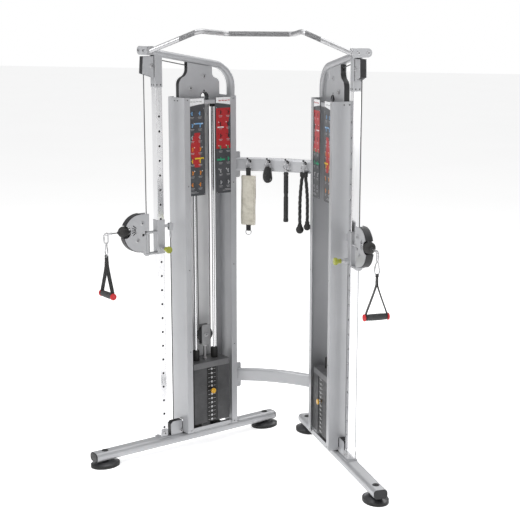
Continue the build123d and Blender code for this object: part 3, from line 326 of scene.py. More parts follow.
# ------------------------------------------------------------------ shapes
class Solid:
    """Gathers simple solids into one piece."""

    def __init__(self):
        self.verts = []
        self.faces = []

    def prism(self, low, high):
        """A solid between two outlines with the same number of corners."""
        n, start = len(low), len(self.verts)
        self.verts += list(low) + list(high)
        self.faces.append([start + i for i in range(n)][::-1])
        self.faces.append([start + n + i for i in range(n)])
        for i in range(n):
            j = (i + 1) % n
            self.faces.append([start + i, start + j, start + n + j, start + n + i])

    def block(self, side, s, t, z):
        """A box in a tower's directions, from (low, high) pairs."""
        corners = ((s[0], t[0]), (s[1], t[0]), (s[1], t[1]), (s[0], t[1]))
        self.prism([spot(side, a, b, z[0]) for a, b in corners], [spot(side, a, b, z[1]) for a, b in corners])

    def rings(self, loops, closed=False, caps=True):
        """A skin through loops of points, each with the same count."""
        n, start = len(loops[0]), len(self.verts)
        for loop in loops:
            self.verts += loop
        spans = len(loops) if closed else len(loops) - 1
        for k in range(spans):
            a, b = start + k * n, start + ((k + 1) % len(loops)) * n
            for i in range(n):
                j = (i + 1) % n
                self.faces.append([a + i, a + j, b + j, b + i])
        if caps and not closed:
            self.faces.append([start + i for i in range(n)][::-1])
            last = start + (len(loops) - 1) * n
            self.faces.append([last + i for i in range(n)])

    def tube(self, points, radius, around=14, closed=False, flat=None, lobes=0, twist=0.0, depth=0.0):
        """A round, flattened or stranded section along a line of points."""
        points = [Vector(p) for p in points]
        count = len(points)
        loops, side, run = [], None, 0.0
        for i, p in enumerate(points):
            before = points[i - 1] if (i or closed) else p
            after = points[(i + 1) % count] if (i < count - 1 or closed) else p
            ahead = (after - before).normalized()
            if flat:
                side = (flat[0] - ahead * flat[0].dot(ahead)).normalized()
            elif side is None:
                side = ahead.orthogonal().normalized()
            else:
                side = (side - ahead * side.dot(ahead)).normalized()
            other = ahead.cross(side)
            wide, thick = (flat[1], flat[2]) if flat else (radius, radius)
            loop = []
            for k in range(around):
                angle = 2 * pi * k / around
                swell = 1 - depth * (0.5 + 0.5 * cos(lobes * angle - twist * run)) if lobes else 1.0
                if flat:
                    c, q = cos(angle), sin(angle)
                    square = (abs(c) ** 4 + abs(q) ** 4) ** -0.25
                    loop.append(p + side * wide * c * square + other * thick * q * square)
                else:
                    loop.append(p + (side * cos(angle) + other * sin(angle)) * wide * swell)
            loops.append(loop)
            if i + 1 < count:
                run += (points[i + 1] - p).length
        self.rings(loops, closed)

    def lathe(self, origin, axis, profile, around=40):
        """Turns (radius, height) pairs about an axis, in millimetres."""
        side = axis.orthogonal().normalized()
        other = axis.cross(side)
        self.rings([[origin + axis * h / 1000 + (side * cos(2 * pi * k / around)
                     + other * sin(2 * pi * k / around)) * max(r, 0.01) / 1000 for k in range(around)]
                    for r, h in profile])

    def done(self, name, mat, body, slot, smooth=40, other=None):
        mesh = bpy.data.meshes.new(name)
        mesh.from_pydata([tuple(v) for v in self.verts], [], self.faces)
        work = bmesh.new()
        work.from_mesh(mesh)
        bmesh.ops.recalc_face_normals(work, faces=work.faces)
        work.to_mesh(mesh)
        work.free()
        mesh.polygons.foreach_set("use_smooth", [True] * len(mesh.polygons))
        mesh.set_sharp_from_angle(angle=radians(smooth))
        mesh.materials.append(mat)
        piece = bpy.data.objects.new(name, mesh)
        bpy.context.scene.collection.objects.link(piece)
        if other:
            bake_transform(piece)
        else:
            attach(piece, body)
        return piece


def arc(centre, a, b, radius, start, end, steps=24):
    """Points of an arc in the plane of the unit vectors a and b, angles in degrees."""
    turn = [radians(start + (end - start) * i / steps) for i in range(steps + 1)]
    return [centre + (a * cos(q) + b * sin(q)) * radius for q in turn]


def smooth_line(points, steps=10):
    """A soft curve through the points."""
    pts = [points[0]] + list(points) + [points[-1]]
    line = []
    for i in range(1, len(pts) - 2):
        for k in range(steps):
            u = k / steps
            p0, p1, p2, p3 = pts[i - 1], pts[i], pts[i + 1], pts[i + 2]
            line.append(0.5 * (2 * p1 + (p2 - p0) * u + (2 * p0 - 5 * p1 + 4 * p2 - p3) * u * u
                               + (3 * p1 - p0 - 3 * p2 + p3) * u ** 3))
    return line + [points[-1]]


def hexagon(centre, a, b, radius):
    return [centre + (a * cos(pi * k / 3) + b * sin(pi * k / 3)) * radius / 1000 for k in range(6)]


# ------------------------------------------------------------------ frame details
hole_shade, washers, sockets, welds, bushes = Solid(), Solid(), Solid(), Solid(), Solid()
TOP_PULLEY, REAR_PULLEY, FRONT_PULLEY = (38, 2074), (-280, 2012), (-196, 1952)
BASE_PULLEY, ARM_UPPER, ARM_LOWER = (-108, 99), (114, 1272), (144, 1184)
FLOATING, GROOVE = (-280, 612), 38
RODS = (-342, -222)
WASHER = ((12.5, 0), (12.5, 1.2), (11.8, 1.6), (9.2, 1.6))
SMALL_SCREW = ((3.0, 0), (2.8, 0.8), (0.5, 0.9))
ROD_BUSH = ((8.6, 0), (15, 0), (15.5, 2), (15.5, 22), (13, 27), (8.6, 27))


def bolt_dress(ring, socket, side, s, z, face):
    """A washer under a bolt head and, in it, a black hexagon as painted shade for the socket, on both ends."""
    for end in (1, -1):
        axis = inward(side) * end
        ring.lathe(spot(side, s, end * (face - 5), z), axis, WASHER, 28)
        ring.lathe(spot(side, s, end * face, z), axis, ((9.0, -1.6), (8.2, 0.5), (5.2, 1.0), (4.9, 0.2)), 28)
        # the black hexagon is painted shade for the socket's recess
        low = hexagon(spot(side, s, end * face, z), along(side), UP, 4.4)
        socket.prism(low, [p + axis * 0.0004 for p in low])


for label, side in SIDES:
    a, n = along(side), inward(side)
    # a black strip inside the upright behind its pin holes: painted shade for the hollow tube's dark inside
    hole_shade.block(side, (-15, 15), (13.5, 16), (100, 2010))
    for (s, z), face in ((REAR_PULLEY, 21.5), (FRONT_PULLEY, 21.5), (TOP_PULLEY, 23), (BASE_PULLEY, 23),
                         ((0, 108), 29.3)):
        bolt_dress(washers, sockets, side, s, z, face)
    # black hexagons on the bracket bolts: painted shade for their sockets
    for t in (22, -28):
        low = hexagon(spot(side, 89, t, 2151), n, UP, 4)
        sockets.prism(low, [p + a * 0.0004 for p in low])
    for s in (-137, -423):
        for z in (105, 552, 1000, 1448, 1895):
            sockets.lathe(spot(side, s, 78.6, z), n, SMALL_SCREW, 14)
            sockets.lathe(spot(side, s, -78.6, z), -n, SMALL_SCREW, 14)
    for t in (-12, 17):
        sockets.lathe(spot(side, -115.4, t, 1891), a, ((3.6, 0), (3.4, 0.8), (0.5, 0.9)), 14)
    corner = 20
    square = [spot(side, s, t, 87.2) for s, t in ((corner, -corner), (corner, corner), (-corner, corner),
                                                (-corner, -corner))]
    welds.tube([square[i] + (square[(i + 1) % 4] - square[i]) * k / 8 for i in range(4) for k in range(8)],
               0.0021, 10, True)
    post = [spot(side, -462 + 18.5 * cos(q), 25 * sin(q), 87.2)
            for q in [2 * pi * k / 40 for k in range(40)]]
    welds.tube(post, 0.0023, 10, True)
    for s in RODS:
        bushes.lathe(spot(side, s, 0, 1851), UP, ROD_BUSH, 28)
        washers.lathe(spot(side, s, 0, 134), UP, ((8.4, -8), (14, -8), (14, -1.5), (8.4, -1.5)), 24)
    # the gusset cut-out's rim, a black disc as painted shade for the hole above it, the sleeve's screws, a
    # strip beside the pulley housing
    for face in (1, -1):
        bushes.tube(arc(spot(side, -282, face * 17.3, 1905), a, UP, 0.0248, 0, 180, 20), 0.0016, 8)
        sockets.lathe(spot(side, -281, face * 16.4, 1938), n * face, ((4.6, 0), (4.4, 0.5), (0.5, 0.6)), 18)
        for s in (-11, 11):
            sockets.lathe(spot(side, s, face * 22.4, 1977), n * face, ((3.6, 0), (3.2, 1.2), (0.5, 1.3)), 16)
        for t in (-10, 10):
            sockets.lathe(spot(side, 22.4, t, 1977), a, ((3.4, 0), (3.0, 1.0), (0.5, 1.1)), 16)
        bushes.block(side, (22.6, 25.2), sorted((face * 17.9, face * 18.7)), (2016, 2117))
    # plug rims on the rail
    for s in (356, -688):
        bushes.lathe(spot(side, s, 0, 85), UP, ((12, -0.5), (11.2, 0.5), (4, 0.9), (0.5, 0.9)), 28)
# the strips are painted shade, not a plastic part
hole_shade.done("upright_liners", INKS["black"], "frame", "black_plastic")
washers.done("frame_washers", steel, "frame", "zinc_steel")
# the black hexagons and the hole disc in this piece are painted shade; the small screw heads are plain black
sockets.done("frame_sockets", INKS["black"], "frame", "black_plastic")
welds.done("weld_beads", silver, "frame", "silver_frame", 60)
bushes.done("rod_bushes", rubber, "frame", "black_rubber")

# ------------------------------------------------------------------ placards
PRINT_T = 73.5


class Print:
    """Thin coloured shapes on one placard: u from its outer edge, v from its foot, millimetres."""

    def __init__(self, solids, side, edge, way):
        self.solids, self.side, self.edge, self.way = solids, side, edge, way

    def shape(self, colour, outline, layer=1):
        low = [spot(self.side, self.edge + self.way * u, PRINT_T, 1395 + v) for u, v in outline]
        lift = inward(self.side) * 0.00018 * layer
        self.solids[colour].prism(low, [p + lift for p in low])

    def wave(self, colour, low, high, u0, u1, swing):
        """A band with a curved left edge that sweeps across the sheet."""
        steps = 14
        left = [(u0 + swing * sin(pi * k / steps), low + (high - low) * k / steps) for k in range(steps + 1)]
        self.shape(colour, left + [(u1, high), (u1, low)], 1)

    def bar(self, colour, u, v, width, height, layer=2):
        self.shape(colour, ((u, v), (u + width, v), (u + width, v + height), (u, v + height)), layer)

    def dot(self, colour, u, v, radius, layer=3):
        turns = [pi * k / 6 for k in range(12)]
        self.shape(colour, [(u + radius * cos(q), v + radius * sin(q)) for q in turns], layer)

    def figure(self, colour, u, v, lean):
        """A small standing figure with one arm out, drawn from plain shapes."""
        self.dot(colour, u, v + 17, 3.4)
        self.shape(colour, ((u - 3, v), (u + 3, v), (u + 3.5 + lean, v + 14), (u - 3.5 + lean, v + 14)), 3)
        self.shape(colour, ((u, v + 10), (u + 11 * (1 if lean > 0 else -1), v + 12 + lean),
                            (u + 11 * (1 if lean > 0 else -1), v + 14 + lean), (u, v + 14)), 3)


for label, side in SIDES:
    solids = {colour: Solid() for colour in INKS}
    for edge, way, warm in ((-137, -1, 0), (-423, 1, 1)):
        sheet = Print(solids, side, edge, way)
        head = [(2, 508), (2, 466)] + [(2 + 104 * k / 10, 466 + 14 * (k / 10) ** 1.6 + 3 * sin(pi * k / 10))
                                       for k in range(11)] + [(106, 508)]
        sheet.shape("white", head, 1)
        for k in range(4):
            sheet.bar("red" if warm else "grey", 18 + 19 * k, 489 - (k % 2), 15, 4.5, 2)
        if warm:
            sheet.wave("red", 238, 452, 8, 106, 22)
            sheet.bar("white", 58, 348, 40, 6)
            sheet.bar("green", 52, 176, 50, 8)
            colours = ("black", "black", "black", "green", "green", "grey", "grey")
        else:
            sheet.wave("red", 150, 330, 44, 78, -26)
            sheet.bar("blue", 46, 374, 52, 7)
            sheet.bar("yellow", 44, 192, 56, 8)
            colours = ("blue", "blue", "grey", "orange", "yellow", "orange", "orange")
        for row, colour in enumerate(colours):
            for column in (30, 78):
                base = 420 - row * 62
                sheet.figure(colour, column, base, 2.5 if (row + column) % 2 else -2.5)
                sheet.bar("grey", column - 12, base - 10, 24, 2.2)
                sheet.bar("grey", column - 9, base - 16, 18, 1.8)
                sheet.dot("white" if row % 2 else "black", column + 12, base + 20, 2.6)
        sheet.bar("grey", 14, 14, 52, 2)
        sheet.bar("grey", 14, 20, 40, 2)
        for u in (5, 103):
            for v in (5, 455):
                sheet.dot("grey", u, v, 2.4, 4)
    for colour, solid in solids.items():
        if solid.verts:
            solid.done(f"{label}_print_{colour}", INKS[colour], "frame", "placard_grey")

# ------------------------------------------------------------------ cables that run
CABLE = 0.0027                       # radius, metres
REAR_CABLE_TOP, GRIP_RUN_END = 1196, 188
for label, side in SIDES:
    a, n = along(side), inward(side)

    def run(name, start, end, bodies, count=24):
        first, last = spot(side, start[0], 0, start[1]), spot(side, end[0], 0, end[1])
        solid = Solid()
        solid.tube([first + (last - first) * i / count for i in range(count + 1)], CABLE, 12)
        margin = (last - first) * 0.02
        return solid.done(f"{label}_{name}", coated, bodies[0], "coated_cable",
                          other=(bodies[1], first + margin, last - margin))

    carriage, stack = f"{label}_carriage", f"{label}_stack"
    front_s, rear_s, fall_s = TOP_PULLEY[0] + GROOVE, BASE_PULLEY[0] + GROOVE, FRONT_PULLEY[0] - GROOVE
    front = run("front_run", (front_s, TOP_PULLEY[1]), (front_s, ARM_UPPER[1]), ("frame", carriage))
    rear = run("rear_run", (rear_s, BASE_PULLEY[1]), (rear_s, REAR_CABLE_TOP), ("frame", carriage))
    rise = run("stack_run_rear", (FLOATING[0] - GROOVE, FRONT_PULLEY[1]), (FLOATING[0] - GROOVE, FLOATING[1]),
               ("frame", stack))
    run("stack_run_front", (fall_s, FRONT_PULLEY[1]), (FLOATING[0] + GROOVE, FLOATING[1]), ("frame", stack))
    out_z = ARM_UPPER[1] - GROOVE
    run("grip_run", (ARM_UPPER[0], out_z), (GRIP_RUN_END, out_z), (f"{label}_arm", f"{label}_cable_end"), 12)
    if side < 0:
        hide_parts("front_cables")
        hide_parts("rear_cables")
        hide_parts("stack_cables")
    turn = Solid()
    turn.tube(arc(spot(side, ARM_UPPER[0], 0, ARM_UPPER[1]), a, UP, GROOVE / 1000, 180, 270), CABLE, 12)
    turn.done(f"{label}_arm_turn", coated, f"{label}_arm", "coated_cable")
    under = Solid()
    under.tube(arc(spot(side, FLOATING[0], 0, FLOATING[1]), a, UP, GROOVE / 1000, 180, 360), CABLE, 12)
    under.done(f"{label}_stack_turn", coated, stack, "coated_cable")

# ------------------------------------------------------------------ carriage and arm
for label, side in SIDES:
    a, n = along(side), inward(side)
    ring, socket = Solid(), Solid()
    for s, z in (ARM_UPPER, ARM_LOWER):
        bolt_dress(ring, socket, side, s, z, 26)
    ring.done(f"{label}_arm_washers", steel, f"{label}_arm", "zinc_steel")
    # black hexagons in the arm bolts: painted shade for their sockets
    socket.done(f"{label}_arm_sockets", INKS["black"], f"{label}_arm", "black_plastic")
    liner = Solid()
    for z in ((1273, 1278.8), (1100.2, 1106)):
        for sign in (1, -1):
            liner.block(side, (-22.6, 22.6), sorted((sign * 20.35, sign * 22.6)), z)
            liner.block(side, sorted((sign * 20.35, sign * 22.6)), (-20.3, 20.3), z)
    liner.done(f"{label}_carriage_liner", rubber, f"{label}_carriage", "black_plastic")
    collar = Solid()
    collar.lathe(spot(side, 0, 44, 1130.6), n,
                 ((6, 0), (10, 0), (10.5, 1), (10.5, 3.5), (9.4, 4), (9.4, 6), (6, 6)), 30)
    collar.lathe(spot(side, 76, 0, 1228.6), UP, ((1, 0), (6, 0), (5, 1.2), (1, 1.4)), 24)
    collar.lathe(spot(side, -70, 0, 1190), UP, ((3.4, -16), (5.2, -15), (5.6, -1), (5.6, 3)), 20)
    collar.done(f"{label}_carriage_fittings", steel, f"{label}_carriage", "zinc_steel")
    pin = Solid()
    pin.lathe(spot(side, 0, 50, 1130.6), n, ((5.2, 0), (9.5, 0.2), (9.5, 14), (8, 15), (5.2, 15)), 30)
    pin.done(f"{label}_pin_sleeve", steel, f"{label}_pop_pin", "zinc_steel")
    hub = Solid()
    for k in range(16):
        q = 2 * pi * k / 16
        at = spot(side, 0, 89, 1130.6) + (a * cos(q) + UP * sin(q)) * 0.0178
        hub.tube([at - n * 0.001, at + n * 0.010], 0.0011, 8)
    hub.done(f"{label}_knob_ribs", green, f"{label}_pop_pin", "green_plastic")

# ------------------------------------------------------------------ cable end, clips and grip
LINK, BALL, OUT_Z, SWING, GRIP = 316, 213, 1234, 1120.5, 918
for label, side in SIDES:
    a, n = along(side), inward(side)
    end = f"{label}_cable_end"
    lead = Solid()
    lead.tube([spot(side, s, 0, OUT_Z) for s in range(int(BALL + 22), LINK - 12, 3)], CABLE, 12)
    lead.done(f"{label}_lead", coated, end, "coated_cable")
    ball = Solid()
    ball.lathe(spot(side, BALL, 0, OUT_Z), a, ((4, -31), (8, -31.4), (10, -29.5), (10, -26), (4, -26)), 36)
    ball.lathe(spot(side, BALL, 0, OUT_Z), a, ((3.2, 28), (8, 28), (9, 30), (6.5, 36), (3.2, 37)), 36)
    for turn in (-8, 8):
        ball.lathe(spot(side, BALL, 0, OUT_Z), a, [(sqrt(30.5 ** 2 - (turn + k) ** 2), turn + k)
                                                for k in (-0.8, 0, 0.8)], 40)
    ball.done(f"{label}_ball_trim", black_plastic, end, "black_rubber")
    clips = Solid()
    clips.lathe(spot(side, LINK - 34, 0, OUT_Z), a,
                ((2.9, 0), (6.2, 0.4), (6.4, 2), (6.4, 17), (5.5, 19), (3.5, 24)), 24)
    eye = spot(side, LINK - 4, 0, OUT_Z)
    clips.tube(arc(eye, a, UP, 0.0075, 0, 360, 28)[:-1], 0.0021, 10, True)
    top, foot = spot(side, LINK, 0, 1227), spot(side, LINK, 0, 1197)
    loop = arc(top, a, UP, 0.0118, 0, 180, 16) + arc(foot, a, UP, 0.0118, 180, 360, 16)
    clips.tube(loop, 0.0031, 12, True)
    clips.lathe(spot(side, LINK, 0, 1203) + a * 0.0118, UP,
                ((3.2, 0), (5.2, 0.3), (5.4, 2), (5.4, 15), (5.2, 17), (3.2, 17.4)), 6)
    snap = []
    for q in range(0, 360, 10):
        w = 0.0096 if sin(radians(q)) > 0 else 0.0132
        h = 0.0292
        centre = spot(side, LINK, 0, 1154)
        snap.append(centre + n * w * cos(radians(q)) * (1 - 0.12 * sin(radians(q))) + UP * h * sin(radians(q))
                    + UP * 0.0036 * sin(radians(q)))
    clips.tube(snap, 0.0031, 12, True)
    clips.tube([spot(side, LINK, 13.0, 1142), spot(side, LINK, 11.0, 1166)], 0.0040, 12)
    clips.lathe(spot(side, LINK, 0, 1184), UP, ((3, -3), (5.8, -2.6), (6, 0), (6, 6), (5, 7), (3, 7)), 20)
    clips.done(f"{label}_clips", steel, end, "zinc_steel")
    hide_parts(f"{label}_cable_clips")

    hand = f"{label}_handle"
    strap = Solid()
    strap_eye = arc(spot(side, LINK, 0, SWING), a, UP, 0.0073, 0, 360, 32)[:-1]
    strap.tube(strap_eye, 0, 12, True, (n, 0.0062, 0.0015))
    neck = [spot(side, LINK, 0, z) for z in (1114, 1108, 1096, 1078, 1066)]
    strap.tube(neck, 0, 20, False, (a, 0.0105, 0.0042))
    for sign in (1, -1):
        line = smooth_line([spot(side, LINK, sign * t, z) for t, z in (
            (2.6, 1092), (3.2, 1074), (9.5, 1052), (24, 1012), (41, 968), (51.5, 940), (53.9, 926),
            (53.9, 907))], 8)
        strap.tube(line, 0, 20, False, (a, 0.0112, 0.0014))
    strap.done(f"{label}_grip_webbing", webbing, hand, "black_webbing", 50)
    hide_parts(f"{label}_handle_strap")
    stitch = Solid()
    for face in (1, -1):
        for s in (-7.5, 7.5):
            for k in range(7):
                z = 1104 - k * 5
                ends = [spot(side, LINK + s, face * 4.3, z), spot(side, LINK + s, face * 4.3, z - 3)]
                stitch.tube(ends, 0.0004, 6)
        for k in range(5):
            stitch.tube([spot(side, LINK - 6 + 3 * k, face * 4.3, 1100 - 6 * k),
                         spot(side, LINK - 4.5 + 3 * k, face * 4.3, 1097 - 6 * k)], 0.0004, 6)
    stitch.done(f"{label}_stitching", thread, hand, "black_webbing")
    sleeve = Solid()
    sleeve.lathe(spot(side, LINK, 0, GRIP), n, [(13.0, -51.9), (15.2, -51)] + [
        (15.2 + 1.6 * sin(pi * (k + 50) / 100) - (0.5 if k % 10 < 3 else 0), k) for k in range(-50, 51, 2)]
        + [(15.2, 51), (13.0, 51.9)], 40)
    sleeve.done(f"{label}_grip_sleeve", grip_mat, hand, "black_rubber", 50)
    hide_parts(f"{label}_hand_grip")
    caps = Solid()
    for sign in (1, -1):
        caps.lathe(spot(side, LINK, 0, GRIP), n * sign,
                   ((5, 50), (5, 55.9), (15.5, 56), (17.4, 57.2), (17.8, 60), (17.2, 63.4),
                    (14.5, 65.2), (10, 65.8), (9.2, 64.6), (0.5, 64.4)), 40)
    caps.done(f"{label}_grip_caps", red, hand, "black_rubber")

# ------------------------------------------------------------------ weight stacks
STACK_FOOT, STACK_PITCH, STACK_PLATES, HEAD_TOP = 128, 24, 13, 472
PINNED, PLATE_MID = 7, 11.9           # the pinned plate's index, a plate's middle above its foot
for label, side in SIDES:
    a, n = along(side), inward(side)
    strips, marks, lifted_strips, lifted_marks, holes, lifted_holes = (Solid() for _ in range(6))
    for k in range(STACK_PLATES):
        z = STACK_FOOT + STACK_PITCH * k
        resting, lifted = (strips, marks, holes), (lifted_strips, lifted_marks, lifted_holes)
        strip, mark, hole = resting if k < PINNED else lifted
        strip.block(side, (-311, -253), (61.9, 63.6), (z + 0.8, z + 23.0))
        mark.block(side, (-306, -294), (63.6, 63.9), (z + 11, z + 13))
        mark.block(side, (-270, -258), (63.6, 63.9), (z + 11, z + 13))
        if k != PINNED:
            hole.lathe(spot(side, -282, 63.5, z + PLATE_MID), n,
                       ((6.6, 0), (6.6, 0.6), (5.6, 0.8), (5.2, 0.2), (0.5, 0.1)), 20)
        mark.block(side, (-399.3, -398.7), (-40, 40), (z + 22.3, z + 23.1))
    strips.done(f"{label}_stack_strip", INKS["black"], "frame", "black_plastic")
    marks.done(f"{label}_stack_marks", INKS["grey"], "frame", "placard_grey")
    holes.done(f"{label}_stack_holes", steel, "frame", "zinc_steel")
    stack = f"{label}_stack"
    lifted_strips.done(f"{label}_lifted_strip", INKS["black"], stack, "black_plastic")
    lifted_marks.done(f"{label}_lifted_marks", INKS["grey"], stack, "placard_grey")
    lifted_holes.done(f"{label}_lifted_holes", steel, stack, "zinc_steel")
    collars, yoke, yoke_sockets = Solid(), Solid(), Solid()
    for s in RODS:
        collars.lathe(spot(side, s, 0, HEAD_TOP), UP,
                      ((9.6, 0), (18.8, 0), (19.4, 2), (19.4, 52), (18.2, 56.2), (9.6, 56.4)), 36)
    collars.done(f"{label}_stack_collars", rubber, stack, "black_rubber")
    bolt_dress(yoke, yoke_sockets, side, *FLOATING, 21.5)
    yoke.lathe(spot(side, FLOATING[0], 0, HEAD_TOP), UP, ((9.2, 0), (14, 0), (14, 9), (12, 11), (9.2, 11)), 6)
    yoke.lathe(spot(side, FLOATING[0], 0, 556), UP, ((9.2, -9), (14, -9), (14, 0), (9.2, 2)), 6)
    yoke.done(f"{label}_yoke_nuts", steel, stack, "zinc_steel")
    # black hexagons in the yoke bolt: painted shade for its sockets
    yoke_sockets.done(f"{label}_yoke_sockets", INKS["black"], stack, "black_plastic")
    tip = Solid()
    tip.lathe(spot(side, -282, 66, STACK_FOOT + PINNED * STACK_PITCH + PLATE_MID), n,
              ((9.2, 0), (10.6, 0.4), (10.6, 7), (9.2, 9)), 30)
    tip.done(f"{label}_selector_collar", steel, f"{label}_selector_pin", "zinc_steel")

# ------------------------------------------------------------------ accessories
HOOK_Z = 1553.0
HOOKS = (-156.0, -52.0, 52.0, 156.0)


def hook(index, dx, dy, dz):
    x = HOOKS[index]
    y = 282.8 - 747 + sqrt(747 ** 2 - x * x) - 33
    return Vector((x + dx, y + dy, HOOK_Z + dz)) / 1000


X, Y = Vector((1, 0, 0)), Vector((0, 1, 0))


def hung_ring(solid, index, drop, across=15.5, wire=2.5):
    solid.tube(arc(hook(index, 0, 0, -drop), X, UP, across / 1000, 0, 360, 40)[:-1], wire / 1000, 12, True)


# hook tips
tips = Solid()
for index in range(4):
    tips.lathe(hook(index, 0, -14, 16), UP, ((4, -2), (5, 0), (5.4, 3), (4, 6), (0.5, 7)), 24)
    tips.lathe(hook(index, 0, 18, 0), -Y, ((11, 0), (11, 2.5), (9, 3.2), (4.2, 3.2)), 30)
tips.done("hook_tips", black_plastic, "frame", "black_plastic")

# padded strap: a stuffed panel between two webbing tabs with steel rings
pad = Solid()
loops = []
for k in range(61):
    v = -1 + 2 * k / 60
    fall = (1 - abs(v) ** 10) ** 0.1
    width = 41 * (0.90 + 0.10 * fall) * (1 + 0.012 * sin(7 * v))
    thick = 9.2 * fall * (1 - 0.16 * (0.5 + 0.5 * cos(pi * v * 4)) ** 6)
    lean = 1.5 * sin(2.6 * v)
    loop = []
    for j in range(40):
        q = 2 * pi * j / 40
        c, m = cos(q), sin(q)
        shape = (abs(c) ** 3.2 + abs(m) ** 3.2) ** (-1 / 3.2)
        ripple = 1 + 0.035 * sin(5 * q + 9 * v) * (abs(m) > 0.2)
        loop.append(hook(0, width * c * shape + lean, max(thick, 0.6) * m * shape * ripple, -210 + 136 * v))
    loops.append(loop)
pad.rings(loops)
pad = pad.done("strap_pad", leather, "padded_strap", "beige_leather", 70)
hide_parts("padded_strap")
trim, steelwork, seam = Solid(), Solid(), Solid()
for drop, tall in ((40, 1), (372, -1)):
    ends = sorted((drop, 78 if tall > 0 else 342))
    trim.tube([hook(0, 0, 0, -z) for z in ends], 0, 20, False, (X, 0.0135, 0.0026))
trim.tube(arc(hook(0, 0, 0, -38), Y, UP, 0.0045, 0, 360, 20)[:-1], 0, 12, True, (X, 0.012, 0.0014))
trim.tube(arc(hook(0, 0, 0, -372), Y, UP, 0.0045, 0, 360, 20)[:-1], 0, 12, True, (X, 0.012, 0.0014))
trim.done("strap_tabs", webbing, "padded_strap", "black_webbing")
hung_ring(steelwork, 0, 7.8 + 12.6, 15.2)
hung_ring(steelwork, 0, 384, 15.5)
steelwork.done("strap_rings", steel, "padded_strap", "zinc_steel")
for face in (-1, 1):
    for x in (-32, 32):
        for k in range(28):
            z = -92 - k * 8.5
            seam.tube([hook(0, x, face * 7.6, z), hook(0, x, face * 7.6, z - 5)], 0.0005, 6)
seam.done("strap_seams", thread, "padded_strap", "beige_leather")

# cuff: a small stuffed loop
cuff = Solid()
loops = []
for k in range(31):
    v = k / 30
    width = 26 * sqrt(max(0.0, 1 - ((v - 0.30) / (0.31 if v < 0.3 else 0.74)) ** 2)) + 0.8
    loops.append([hook(1, width * cos(q) * (1 + 0.03 * sin(3 * q + 8 * v)),
                       (3 + 10.5 * sqrt(max(0.0, 1 - (2 * v - 0.85) ** 2 / 1.4))) * sin(q) * min(1, width / 8),
                       -112 + 88 * v) for q in [2 * pi * j / 32 for j in range(32)]])
cuff.rings(loops)
cuff = cuff.done("cuff_body", webbing, "ankle_cuff", "black_webbing", 70)
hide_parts("ankle_cuff")
band = Solid()
peak = ((-20, -96), (-9, -84), (0, -78), (9, -84), (20, -96))
band.tube(smooth_line([hook(1, x, -8.5, z) for x, z in peak], 8),
          0, 16, False, (UP, 0.006, 0.0012))
band.done("cuff_band", thread, "ankle_cuff", "black_webbing")
ringwork = Solid()
hung_ring(ringwork, 1, 20.3, 15.2)
ringwork.done("cuff_ring", steel, "ankle_cuff", "zinc_steel")

# straight bar: a turned black bar with ribbed hand zones and a steel eye
bar = Solid()
profile = [(4, -50), (9, -50), (12.5, -52), (13.8, -56), (13.8, -62), (12.2, -64)]
profile += [(12.2 + (0.9 if k % 2 else 0.0), -70 - k * 3.1) for k in range(30)]
profile += [(11.2, -166), (11.2, -182)] + [(12.2 + (0.9 if k % 2 else 0.0), -186 - k * 3.1) for k in range(38)]
profile += [(13.8, -306), (13.8, -315), (11.5, -319), (0.5, -319.5)]
bar.lathe(hook(2, 0, 0, 0), UP, profile, 36)
bar = bar.done("bar_body", black_plastic, "curl_bar", "black_plastic", 50)
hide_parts("curl_bar")
eye = Solid()
hung_ring(eye, 2, 20.3, 15.2)
eye.lathe(hook(2, 0, 0, 0), UP, ((3, -33), (7.5, -34), (8, -37), (8, -48), (6, -51), (3, -51)), 24)
eye.done("bar_eye", steel, "curl_bar", "zinc_steel")

# rope: two stranded falls from one fitting, each with a rubber ball end
fitting = Solid()
hung_ring(fitting, 3, 20.3, 15.2)
fitting.lathe(hook(3, 0, 0, 0), UP, ((4, -33), (9, -34), (10, -38), (10, -44), (6, -46)), 24)
fitting.done("rope_fitting", steel, "triceps_rope", "zinc_steel")
clamp = Solid()
clamp.tube([hook(3, 0, 0, -z) for z in (44, 48, 60, 68)], 0, 24, False, (X, 0.021, 0.0105))
clamp = clamp.done("rope_clamp", rubber, "triceps_rope", "black_rubber", 60)
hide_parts("triceps_rope")
for tag, dx, dy, foot, size in (("a", -20, -3, -362, 21), ("b", 19, 4, -346, 18.5)):
    top, low = hook(3, dx * 0.45, 0, -68), hook(3, dx, dy, foot)
    path = smooth_line([top, hook(3, dx * 0.72, dy * 0.3, -110), hook(3, dx * 0.98, dy, -190),
                        hook(3, dx * 1.02, dy, -280), low], 16)
    strand = Solid()
    strand.tube(path, 0.0095, 30, lobes=3, twist=210.0, depth=0.16)
    knob = Solid()
    round_end = [(size * cos(radians(q)), 8 + size * sin(radians(q)) * 1.05) for q in range(-52, 90, 8)]
    knob.lathe(low + UP * 0.016, -UP,
               [(9.4, -22), (11.5, -20), (12.5, -14)] + round_end + [(0.5, 8 + size * 1.05)], 36)
    knob = knob.done(f"rope_end_{tag}", rubber, "triceps_rope", "black_rubber", 50)
    strand = strand.done(f"rope_strand_{tag}", rope_mat, "triceps_rope", "black_webbing", 70)

# ------------------------------------------------------------------ room, light and camera
floor_mesh = bpy.data.meshes.new("backdrop")
reach = 40
corners = [(-reach, -reach, 0), (reach, -reach, 0), (reach, reach, 0), (-reach, reach, 0)]
floor_mesh.from_pydata(corners, [], [(0, 1, 2, 3)])
backdrop = bpy.data.objects.new("backdrop", floor_mesh)
bpy.context.scene.collection.objects.link(backdrop)
paper = Shader("studio_paper")
backdrop.data.materials.append(paper.set(Base_Color=paper.ramp(
    paper.noise(0.6), ((0.3, (0.90, 0.90, 0.90)), (0.7, (0.93, 0.93, 0.93)))), Roughness=0.9,
    Emission_Color=(1, 1, 1, 1), Emission_Strength=0.55))

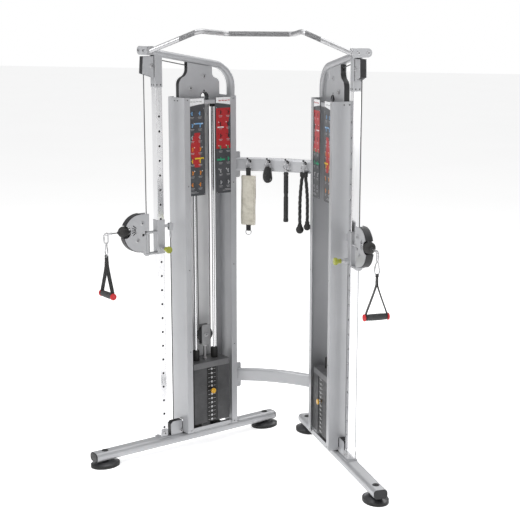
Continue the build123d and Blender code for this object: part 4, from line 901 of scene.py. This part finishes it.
world = bpy.data.worlds.new("studio")
world.use_nodes = True
wt = world.node_tree
wt.nodes.clear()
w_out, w_bg = wt.nodes.new("ShaderNodeOutputWorld"), wt.nodes.new("ShaderNodeBackground")
w_ramp, w_sep, w_tex = (wt.nodes.new("ShaderNode" + k) for k in ("ValToRGB", "SeparateXYZ", "TexCoord"))
wt.links.new(w_tex.outputs["Generated"], w_sep.inputs[0])
wt.links.new(w_sep.outputs["Z"], w_ramp.inputs["Fac"])
w_ramp.color_ramp.elements[0].color = (0.55, 0.56, 0.58, 1)
w_ramp.color_ramp.elements[1].color = (1.0, 1.0, 1.0, 1)
w_ramp.color_ramp.elements[1].position = 0.5
wt.links.new(w_ramp.outputs["Color"], w_bg.inputs["Color"])
w_bg.inputs["Strength"].default_value = 0.42
# the camera sees plain white beyond the floor, from every side
w_seen, w_mix, w_path = (wt.nodes.new("ShaderNode" + k) for k in ("Background", "MixShader", "LightPath"))
w_seen.inputs["Color"].default_value = (1, 1, 1, 1)
wt.links.new(w_path.outputs["Is Camera Ray"], w_mix.inputs[0])
wt.links.new(w_bg.outputs[0], w_mix.inputs[1])
wt.links.new(w_seen.outputs[0], w_mix.inputs[2])
wt.links.new(w_mix.outputs[0], w_out.inputs["Surface"])
bpy.context.scene.world = world


def lamp(name, place, aim, size, power, tone=(1, 1, 1)):
    light = bpy.data.lights.new(name, "AREA")
    light.shape, light.size, light.size_y = "RECTANGLE", size[0], size[1]
    light.energy, light.color = power, tone
    obj = bpy.data.objects.new(name, light)
    obj.location = place
    obj.rotation_euler = (Vector(aim) - Vector(place)).to_track_quat("-Z", "Y").to_euler()
    bpy.context.scene.collection.objects.link(obj)


lamp("key", (-3.6, -4.6, 4.6), (0, 0, 1.1), (3.0, 3.0), 188)
lamp("fill", (4.8, -3.4, 2.8), (0, 0, 1.0), (3.0, 3.5), 38)
lamp("top", (0, 0.5, 6.0), (0, 0, 0), (6.0, 5.0), 160)
lamp("rear", (1.0, 4.2, 3.6), (0, 0, 1.2), (4.0, 2.0), 64)

camera_data = bpy.data.cameras.new("camera")
camera_data.lens, camera_data.sensor_width = 81.93, 36
camera = bpy.data.objects.new("camera", camera_data)
camera.location = (1.9236, -5.7497, 2.3484)
camera.rotation_euler = (radians(90 - 11.91), 0, radians(18.60))
bpy.context.scene.collection.objects.link(camera)
bpy.context.scene.camera = camera
bpy.context.scene.view_settings.view_transform = "Standard"
